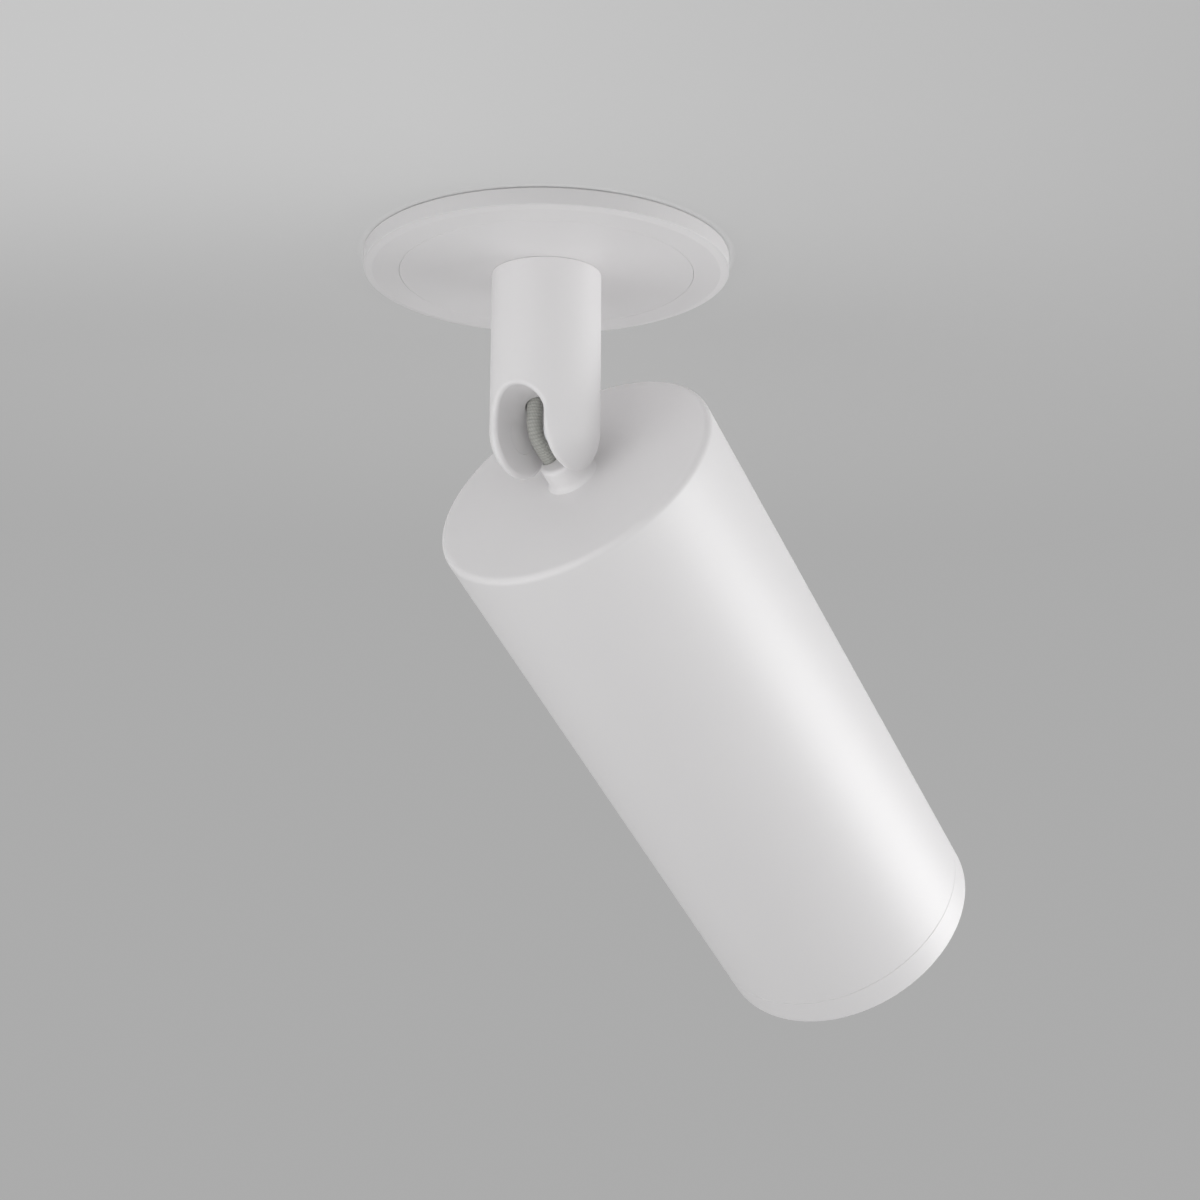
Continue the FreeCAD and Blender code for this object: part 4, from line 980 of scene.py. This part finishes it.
class SPOTLIGHT_OT_lamp(bpy.types.Operator):
    """Make the lamp: its shell, faceted reflector, light source and front lens"""

    bl_idname = "spotlight.lamp"
    bl_label = "Lamp"

    def execute(self, context):
        face = front_end() + 26.0 * MM
        back = face + 50.0 * MM
        seat = face + 2.5 * MM
        floor = seat + 16.0 * MM
        base = 10.0 * MM
        rim = 25.0 * MM
        mouth = 23.6 * MM
        bowl_mouth = 22.2 * MM
        bowl_floor = 7.0 * MM
        shell = lathe("lamp_housing", rounded([
            (0.0, back),
            (base, back, 0.6 * MM),
            (base, back - 9.0 * MM, 1.0 * MM),
            (rim, face + 13.0 * MM, 3.0 * MM),
            (rim, face, 0.5 * MM),
            (mouth, face, 0.3 * MM),
            (mouth, seat),
            (bowl_mouth, seat),
            (bowl_floor, floor),
            (0.0, floor),
        ]), LAMP_STEPS, head_place())
        finish_piece(shell, "head", "lamp_white", ["lamp_shell"])
        self.make_reflector(seat, floor)
        source_radius = 6.2 * MM
        source_back = floor - 0.05 * MM
        source = lathe("lamp_light_source", rounded([
            (0.0, source_back),
            (source_radius, source_back),
            (source_radius, floor - 0.9 * MM, 0.2 * MM),
            (0.0, floor - 1.1 * MM),
        ]), LAMP_STEPS // 2, head_place())
        finish_piece(source, "head", "lamp_white", [], ["phosphor"])
        self.make_lens(face, seat)
        return {"FINISHED"}

    def make_lens(self, face, seat):
        """A flat lens with stepped rings on its front."""
        rim = 23.55 * MM
        ringed = rim - 1.2 * MM
        crest = face + 0.3 * MM
        valley = face + 0.75 * MM
        riser = 0.1 * MM
        rings = 12
        profile = [(0.0, seat), (rim, seat), (rim, face + 0.5 * MM), (rim - 0.2 * MM, crest)]
        for number in range(rings):
            wide = ringed * (rings - number) / rings
            thin = ringed * (rings - number - 1) / rings
            profile.append((wide, crest))
            profile.append((thin + riser if number < rings - 1 else 0.0, valley))
        lens = lathe("lamp_front_lens", profile, LAMP_STEPS, head_place())
        finish_piece(lens, "head", "lens_glass", ["lamp_lens"])

    def make_reflector(self, seat, floor):
        """A thin bowl of flat facets inside the shell."""
        sides = 24
        steps = sides * 2
        levels = 7
        wall = 0.35 * MM
        gap = 0.05 * MM
        wide = 22.1 * MM
        narrow = 7.05 * MM
        facet = FULL_TURN / sides
        rows = []
        for level in range(levels + 1):
            share = level / levels
            rows.append((wide + (narrow - wide) * share, seat + gap + (floor - seat - 2 * gap) * share))
        rings = [ring_points(steps, reach, height) for reach, height in rows]
        for level, (reach, height) in enumerate(reversed(rows)):
            offset = facet / 2 * (level % 2)

            def facet_reach(turn):
                bay = (turn + offset) % facet - facet / 2
                return (reach - wall) * math.cos(facet / 2) / math.cos(bay)

            rings.append(ring_points(steps, facet_reach, height))
        work = bmesh.new()
        join_rings(work, rings, True)
        bowl = finish_mesh("lamp_reflector", work, head_place())
        bowl.data.shade_flat()
        finish_piece(bowl, "head", "lamp_white", [], ["mirror"])


class SPOTLIGHT_OT_recess_can(bpy.types.Operator):
    """Soften the can that sits in the ceiling, and its lid"""

    bl_idname = "spotlight.recess_can"
    bl_label = "Recess can"

    def execute(self, context):
        for node, name in (("recess_can", "can_body"), ("can_lid", "can_cover")):
            soften(node, name, "base", "zinc_steel", width=0.3 * MM, steps=3)
        return {"FINISHED"}


class SPOTLIGHT_OT_entry_grommet(bpy.types.Operator):
    """Turn the rubber grommet in the lid's cable entry"""

    bl_idname = "spotlight.entry_grommet"
    bl_label = "Entry grommet"

    def execute(self, context):
        low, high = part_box("entry_grommet")
        thick = 1.4 * MM
        lip = (high.x - low.x) / 2
        groove = lip - thick
        bore = groove - 1.5 * MM
        grommet = lathe("can_grommet", rounded([
            (bore, low.z, 0.5 * MM),
            (lip, low.z, 0.6 * MM),
            (lip, low.z + thick, 0.15 * MM),
            (groove, low.z + thick),
            (groove, high.z - thick),
            (lip, high.z - thick, 0.15 * MM),
            (lip, high.z, 0.7 * MM),
            (bore, high.z, 0.5 * MM),
        ]), FINE_STEPS, Matrix.Translation((0.0, (low.y + high.y) / 2, 0.0)))
        finish_piece(grommet, "base", "black_rubber", ["entry_grommet"])
        return {"FINISHED"}


# Corners of one grip rib: share of the pitch, depth
GRIP_RIB = ((0.0, 0.0), (0.15, 0.32 * MM), (0.40, 0.32 * MM), (0.55, 0.0))


class SPOTLIGHT_OT_clips(bpy.types.Operator):
    """Make the brackets, arms, pins and rubber pads of the two ceiling clips"""

    bl_idname = "spotlight.clips"
    bl_label = "Clips"

    def execute(self, context):
        edge = 0.18 * MM
        for name, side in SIDES:
            soften("clip_bracket_" + name, "clip_saddle_" + name, "base", "zinc_steel", edge)
            soften("clip_arm_" + name, "clip_blade_" + name, "clip_" + name, "zinc_steel", edge)
            self.make_pin(name)
            self.make_pad(name, side)
        return {"FINISHED"}

    def make_pin(self, name):
        """A pin with a low domed head at each end."""
        low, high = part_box("clip_pin_" + name)
        half = (high.y - low.y) / 2
        head = (high.z - low.z) / 2
        along_y = Matrix.Translation((low + high) / 2) @ Matrix.Rotation(-math.pi / 2, 4, "X")
        corners = double_headed(
            half, half - 0.6 * MM, head, shank=1.0 * MM, crown_share=0.6, crown_round=0.3 * MM,
            edge=0.2 * MM, edge_round=0.2 * MM)
        pin = lathe("clip_axle_" + name, rounded(corners), SCREW_STEPS, along_y)
        finish_piece(pin, "base", "zinc_steel", ["clip_pin_" + name])

    def make_pad(self, name, side):
        """A rubber sleeve pushed over the arm's tip, with grip ribs across it."""
        low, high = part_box("clip_pad_" + name)
        near, tip = sorted((abs(low.x), abs(high.x)))
        half_y = high.y
        middle = (low.z + high.z) / 2
        half_z = (high.z - low.z) / 2
        wall = 1.0 * MM - 0.05 * MM
        pitch = 1.5 * MM
        edge = 0.25 * MM
        tip_edge = 0.2 * MM
        tip_round = 0.7 * MM
        corner_round = 0.8 * MM
        corner_steps = 5

        def section(x, across, up, corner):
            points = []
            for number in range(4):
                centre_y = (across - corner) * (1 if number in (0, 3) else -1)
                centre_z = (up - corner) * (1 if number in (0, 1) else -1)
                for step in range(corner_steps + 1):
                    turn = math.pi / 2 * (number + step / corner_steps)
                    points.append(Vector((side * x, centre_y + corner * math.cos(turn),
                                          middle + centre_z + corner * math.sin(turn))))
            return points

        pocket_y = half_y - wall
        pocket_z = half_z - wall
        rows = [
            (tip - wall, pocket_y, pocket_z, 0.2 * MM),
            (near + 0.3 * MM, pocket_y, pocket_z, 0.2 * MM),
            (near, pocket_y + edge, pocket_z + edge, 0.3 * MM),
            (near, half_y - edge, half_z - edge, 0.6 * MM),
            (near + edge, half_y, half_z, corner_round),
        ]
        for number in range(int((tip - near - 2.0 * MM) / pitch)):
            start = near + 1.0 * MM + pitch * number
            for share, depth in GRIP_RIB:
                rows.append((start + pitch * share, half_y - depth / 2, half_z - depth, corner_round))
        rows += [
            (tip - tip_round, half_y, half_z, corner_round),
            (tip - tip_edge, half_y - tip_edge, half_z - tip_edge, corner_round),
            (tip, half_y - tip_round, half_z - tip_round, 0.5 * MM),
        ]
        pad = loft("clip_grip_" + name, [section(*row) for row in rows])
        finish_piece(pad, "clip_" + name, "black_rubber", ["clip_pad_" + name])


def cross_reach(reach, half_width):
    """Outline of a cross recess, as reach for each direction."""
    least = 1e-9

    def at(turn):
        across = max(abs(math.cos(turn)), least)
        up = max(abs(math.sin(turn)), least)
        return max(min(reach / across, half_width / up), min(half_width / across, reach / up))

    return at


# Outline of a pan head: share of its radius, share of its height
PAN_HEAD = ((1.0, 0.0), (1.0, 0.45), (0.96, 0.65), (0.86, 0.84), (0.70, 0.96), (0.60, 1.0))
# Mouth and floor of its cross recess: reach and half width as shares of its radius, share of its height
CROSS_RECESS = ((0.52, 0.13, 1.0), (0.44, 0.10, 0.35))


def screw_template(radius, reach, head, head_height, way):
    """A pan-head screw with a cross recess: its seat at the origin, its head along +Z before it is turned."""
    steps = SCREW_STEPS
    pitch = 0.6 * MM
    thread_depth = 0.18 * MM
    lead_in = 0.2 * MM
    point_share = 0.75
    rings = [ring_points(steps, radius * point_share, -reach)]
    threads = max(int((reach - 2 * lead_in) / pitch), 1)
    for number in range(threads):
        level = -reach + lead_in + pitch * number
        rings.append(ring_points(steps, radius, level))
        rings.append(ring_points(steps, radius - thread_depth, level + pitch / 2))
    rings.append(ring_points(steps, radius, 0.0))
    for share, height in PAN_HEAD:
        rings.append(ring_points(steps, head * share, head_height * height))
    for arm, half_width, height in CROSS_RECESS:
        rings.append(ring_points(steps, cross_reach(head * arm, head * half_width), head_height * height))
    return loft("screw_template", rings, way)


class SPOTLIGHT_OT_screws(bpy.types.Operator):
    """Set out the screws in the can and in the head"""

    bl_idname = "spotlight.screws"
    bl_label = "Screws"

    def execute(self, context):
        ways = (-1, 1)
        upright = Matrix.Identity(4)
        hang = head_place()
        turn = hang.to_3x3().to_4x4()
        back_to_front = turn @ Matrix.Rotation(math.pi, 4, "X")
        plate_front = front_end() + 88.3 * MM
        plate_back = plate_front + 1.2 * MM
        plate_aside = 15.4 * MM
        holder_aside = 7.0 * MM
        floor_aside = 16.0 * MM / math.sqrt(2)
        block_low, block_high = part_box("terminal_block")
        block_y = (block_low.y + block_high.y) / 2
        block_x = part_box("block_screws")[1].x - 1.2 * MM
        # Node, piece, body, then shank radius, reach, head radius and head height in millimetres
        rows = [
            ("floor_screws", "can_floor_screws", "base", (1.5, 2.6, 2.75, 1.8), upright,
             [(x * floor_aside, y * floor_aside, 0.0) for x in ways for y in ways]),
            ("block_screws", "terminal_block_screws", "base", (0.8, 13.0, 1.2, 1.2), upright,
             [(x * block_x, block_y, block_high.z) for x in ways]),
            ("plate_screws", "holder_plate_screws", "head", (1.5, 4.0, 2.5, 1.6), back_to_front,
             [hang @ Vector((x * plate_aside, 0.0, plate_front)) for x in ways]),
            ("holder_screws", "lamp_holder_screws", "head", (1.5, 6.0, 2.5, 1.6), turn,
             [hang @ Vector((0.0, y * holder_aside, plate_back)) for y in ways]),
        ]
        for node, name, body, shape, way, spots in rows:
            template = screw_template(*[part * MM for part in shape], way)
            set_out(name, template, spots, body, "zinc_steel", node)
        return {"FINISHED"}


class SPOTLIGHT_OT_rivets(bpy.types.Operator):
    """Set out the domed rivets that hold the clip brackets to the can"""

    bl_idname = "spotlight.rivets"
    bl_label = "Rivets"

    def execute(self, context):
        low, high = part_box("clip_rivets")
        head = 1.6 * MM
        tall = 0.6 * MM
        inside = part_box("recess_can")[1].x - 1.1 * MM
        half = (high.x - inside + tall) / 2
        middle = high.x - half
        along_x = Matrix.Rotation(math.pi / 2, 4, "Y")
        corners = double_headed(
            half, half - tall, head, shank=1.0 * MM, crown_share=0.5, crown_round=0.4 * MM, edge=0.1 * MM)
        template = lathe("rivet_template", rounded(corners), RIVET_STEPS, along_x)
        spots = [(side * middle, 0.0, level) for side in (-1, 1) for level in (low.z + head, high.z - head)]
        set_out("clip_saddle_rivets", template, spots, "base", "zinc_steel", "clip_rivets")
        return {"FINISHED"}


KEPT_NODES = {
    "zinc_steel": ("stop_pin", "stop_washer", "lock_washer", "holder_bracket", "holder_plate", "nipple_nut",
                   "neck_nut", "stem_nipple"),
    "brass": ("terminal_screws", "lamp_pins"),
    "white_plastic": ("friction_washer", "terminal_block"),
    "cream_ceramic": ("lamp_holder",),
}


class SPOTLIGHT_OT_inner_parts(bpy.types.Operator):
    """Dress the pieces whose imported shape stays"""

    bl_idname = "spotlight.inner_parts"
    bl_label = "Inner parts"

    def execute(self, context):
        for slot, nodes in KEPT_NODES.items():
            for node in nodes:
                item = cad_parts[node]
                item.data.materials.clear()
                item.data.materials.append(finish(slot))
        return {"FINISHED"}


class SPOTLIGHT_OT_stage(bpy.types.Operator):
    """Set the ceiling, the soft studio light and the camera"""

    bl_idname = "spotlight.stage"
    bl_label = "Stage"

    def execute(self, context):
        hang_ceiling()
        light_world()
        for lamp in LAMPS:
            hang_lamp(*lamp)
        aim_camera()
        context.scene.view_settings.view_transform = "Standard"
        return {"FINISHED"}


CEILING_LEVEL = 0.25 * MM
CEILING_RINGS = (35.3 * MM, 0.1, 0.4, 6.0)
CEILING_STEPS = 128
CEILING_GLOW = 0.75
CEILING_GRAIN = 1.5 * MM
VIEW_AHEAD = (0.82, 0.57, 0.0)
VIEW_LEFT = (-0.57, 0.82, 0.0)
# Ramps over the ceiling: where each starts and ends, and its low value if that is not 0. The first two shape
# the painted pool of light in the ceiling's glow.
LIGHT_POOL = (0.055, -0.075)
LIGHT_SIDE = (-0.135, 0.02, 0.1)
GLOW_REACH = (0.08, 0.30, CEILING_GLOW)
PLATE_SHADE = (35.8 * MM, 37.5 * MM)


def ceiling_finish():
    """Painted ceiling. The camera sees mostly an emitted glow with a painted pool of light, paler where the
    room's light would fall. Seen from above it lets the view through.
    """
    material, place = new_finish("painted_ceiling")
    shade = colours().ceiling
    grain = mixed(noise(place, CEILING_GRAIN), darker(shade, 0.985), opaque(shade))
    paint = place.add("ShaderNodeBsdfDiffuse", None, {"Color": grain})
    painted_light_pool = ramp(vector_sum("DOT_PRODUCT", place, VIEW_AHEAD, 1), *LIGHT_POOL)
    side = ramp(vector_sum("DOT_PRODUCT", place, VIEW_LEFT, 1), *LIGHT_SIDE, shape="LINEAR")
    # Painted light: the glow's colour runs from the backdrop grey to a paler pool of light painted on the
    # ceiling
    tone = mixed(painted_light_pool * side, opaque(colours().backdrop), opaque(colours().ceiling_light))
    glow = place.add("ShaderNodeEmission", None, {"Color": tone})
    ray = place.add("ShaderNodeLightPath")
    reach = place.add("ShaderNodeVectorMath", {"operation": "LENGTH"}, {0: place}, 1)
    share = ramp(reach, *GLOW_REACH)
    clear_of_plate = ramp(reach, *PLATE_SHADE)
    surface = place.add("ShaderNodeMixShader", None, {0: ray * share * clear_of_plate, 1: paint, 2: glow})
    back = place.add("ShaderNodeNewGeometry", output=6)
    clear = place.add("ShaderNodeBsdfTransparent")
    surface = place.add("ShaderNodeMixShader", None, {0: back * ray, 1: surface, 2: clear})
    place.add("ShaderNodeOutputMaterial", None, {"Surface": surface})
    return material


def hang_ceiling():
    """A wide flat ring round the hole that the can goes through, facing down."""
    work = bmesh.new()
    join_rings(work, [ring_points(CEILING_STEPS, reach, CEILING_LEVEL) for reach in CEILING_RINGS], False)
    mesh = bpy.data.meshes.new("ceiling")
    work.to_mesh(mesh)
    work.free()
    mesh.materials.append(ceiling_finish())
    new_piece("ceiling", mesh)


WORLD_LIGHT = 0.395


def light_world():
    """Even pale light all round, with the backdrop's grey where the camera looks."""
    world = bpy.data.worlds.new("studio")
    world.use_nodes = True
    world.node_tree.nodes.clear()
    start = Value(world.node_tree)
    ray = start.add("ShaderNodeLightPath")
    plain = start.add("ShaderNodeBackground", None, {"Color": (1.0, 1.0, 1.0, 1.0), "Strength": WORLD_LIGHT})
    seen = start.add("ShaderNodeBackground", None, {"Color": opaque(colours().backdrop), "Strength": 1.0})
    mix = start.add("ShaderNodeMixShader", None, {0: ray, 1: plain, 2: seen})
    start.add("ShaderNodeOutputWorld", None, {"Surface": mix})
    bpy.context.scene.world = world


HEAD_MIDDLE = (0.045, 0.0, -0.075)

# Soft lamps: name, place, what they point at, size, power in watts
LAMPS = [
    ("far_side", (0.75, -0.70, -0.11), HEAD_MIDDLE, 0.8, 5.0),
    ("right", (0.56, -0.74, -0.25), HEAD_MIDDLE, 0.8, 2.4),
    ("camera_high", (-0.60, -0.40, -0.04), HEAD_MIDDLE, 0.8, 1.4),
    ("near_left", (-0.45, 0.20, -0.22), HEAD_MIDDLE, 0.8, 0.6),
    ("left_high", (-0.95, 0.10, -0.05), HEAD_MIDDLE, 0.8, 0.8),
    ("low_left", (-0.55, 0.35, -0.55), HEAD_MIDDLE, 0.8, 1.35),
    ("above_ceiling", (-0.3, -0.4, 0.6), (0.0, 0.0, 0.0), 0.6, 4.0),
]


def hang_lamp(name, place, target, width, power):
    """A square soft lamp pointed at a spot."""
    data = bpy.data.lights.new(name, "AREA")
    data.shape = "SQUARE"
    data.size = width
    data.energy = power
    lamp = bpy.data.objects.new(name, data)
    lamp.location = place
    lamp.rotation_mode = "QUATERNION"
    lamp.rotation_quaternion = (Vector(target) - Vector(place)).to_track_quat("-Z", "Y")
    bpy.context.scene.collection.objects.link(lamp)


CAMERA_SENSOR = 36.0
CAMERA_LENS = 60.062
CAMERA_NEAR = 0.01
CAMERA_AWAY = 402.208 * MM
CAMERA_TURN = math.radians(-143.4729)
CAMERA_RISE = math.radians(-20.7458)
CAMERA_YAW = math.radians(-1.6536)
CAMERA_PITCH = math.radians(9.6393)
CAMERA_ROLL = math.radians(0.9156)


def aim_camera():
    """A camera under the ceiling that looks up at the plate, then leans down to frame the head."""
    data = bpy.data.cameras.new("view_camera")
    data.sensor_width = CAMERA_SENSOR
    data.lens = CAMERA_LENS
    data.clip_start = CAMERA_NEAR
    level = math.cos(CAMERA_RISE)
    place = Vector((level * math.cos(CAMERA_TURN), level * math.sin(CAMERA_TURN), math.sin(CAMERA_RISE)))
    ahead = -place
    right = ahead.cross(Vector((0.0, 0.0, 1.0))).normalized()
    down = ahead.cross(right)
    base = Matrix((right, down, ahead))
    lean = (Matrix.Rotation(CAMERA_ROLL, 3, "Z") @ Matrix.Rotation(CAMERA_PITCH, 3, "X")
            @ Matrix.Rotation(CAMERA_YAW, 3, "Y"))
    rows = lean @ base
    turn = Matrix((rows[0], -rows[1], -rows[2])).transposed()
    camera = bpy.data.objects.new("view_camera", data)
    camera.matrix_world = Matrix.LocRotScale(place * CAMERA_AWAY, turn, None)
    bpy.context.scene.collection.objects.link(camera)
    bpy.context.scene.camera = camera


PIECE_OPERATORS = [
    SPOTLIGHT_OT_cables,
    SPOTLIGHT_OT_ceiling_plate,
    SPOTLIGHT_OT_head_tube,
    SPOTLIGHT_OT_neck,
    SPOTLIGHT_OT_stem,
    SPOTLIGHT_OT_hinge_parts,
    SPOTLIGHT_OT_glare_baffle,
    SPOTLIGHT_OT_lamp,
    SPOTLIGHT_OT_recess_can,
    SPOTLIGHT_OT_entry_grommet,
    SPOTLIGHT_OT_clips,
    SPOTLIGHT_OT_clip_springs,
    SPOTLIGHT_OT_rivets,
    SPOTLIGHT_OT_screws,
    SPOTLIGHT_OT_inner_parts,
    SPOTLIGHT_OT_stage,
]


class SPOTLIGHT_PT_pieces(bpy.types.Panel):
    """Lists the spotlight's sizes, colours and pieces"""

    bl_idname = "SPOTLIGHT_PT_pieces"
    bl_label = "Ceiling spotlight"
    bl_space_type = "VIEW_3D"
    bl_region_type = "UI"
    bl_category = "Spotlight"

    def draw(self, context):
        for group in (sizes(), colours()):
            column = self.layout.column(align=True)
            for name in group.__annotations__:
                column.prop(group, name)
        column = self.layout.column(align=True)
        for operator in PIECE_OPERATORS:
            column.operator(operator.bl_idname)


CLASSES = [SpotlightSizes, SpotlightColours, *PIECE_OPERATORS, SPOTLIGHT_PT_pieces]


def register():
    for item in CLASSES:
        bpy.utils.register_class(item)
    bpy.types.Scene.spotlight_sizes = bpy.props.PointerProperty(type=SpotlightSizes)
    bpy.types.Scene.spotlight_colours = bpy.props.PointerProperty(type=SpotlightColours)


def unregister():
    del bpy.types.Scene.spotlight_colours
    del bpy.types.Scene.spotlight_sizes
    for item in reversed(CLASSES):
        bpy.utils.unregister_class(item)


def main():
    register()
    for operator in PIECE_OPERATORS:
        group, name = operator.bl_idname.split(".")
        getattr(getattr(bpy.ops, group), name)()


if __name__ == "__main__":
    main()
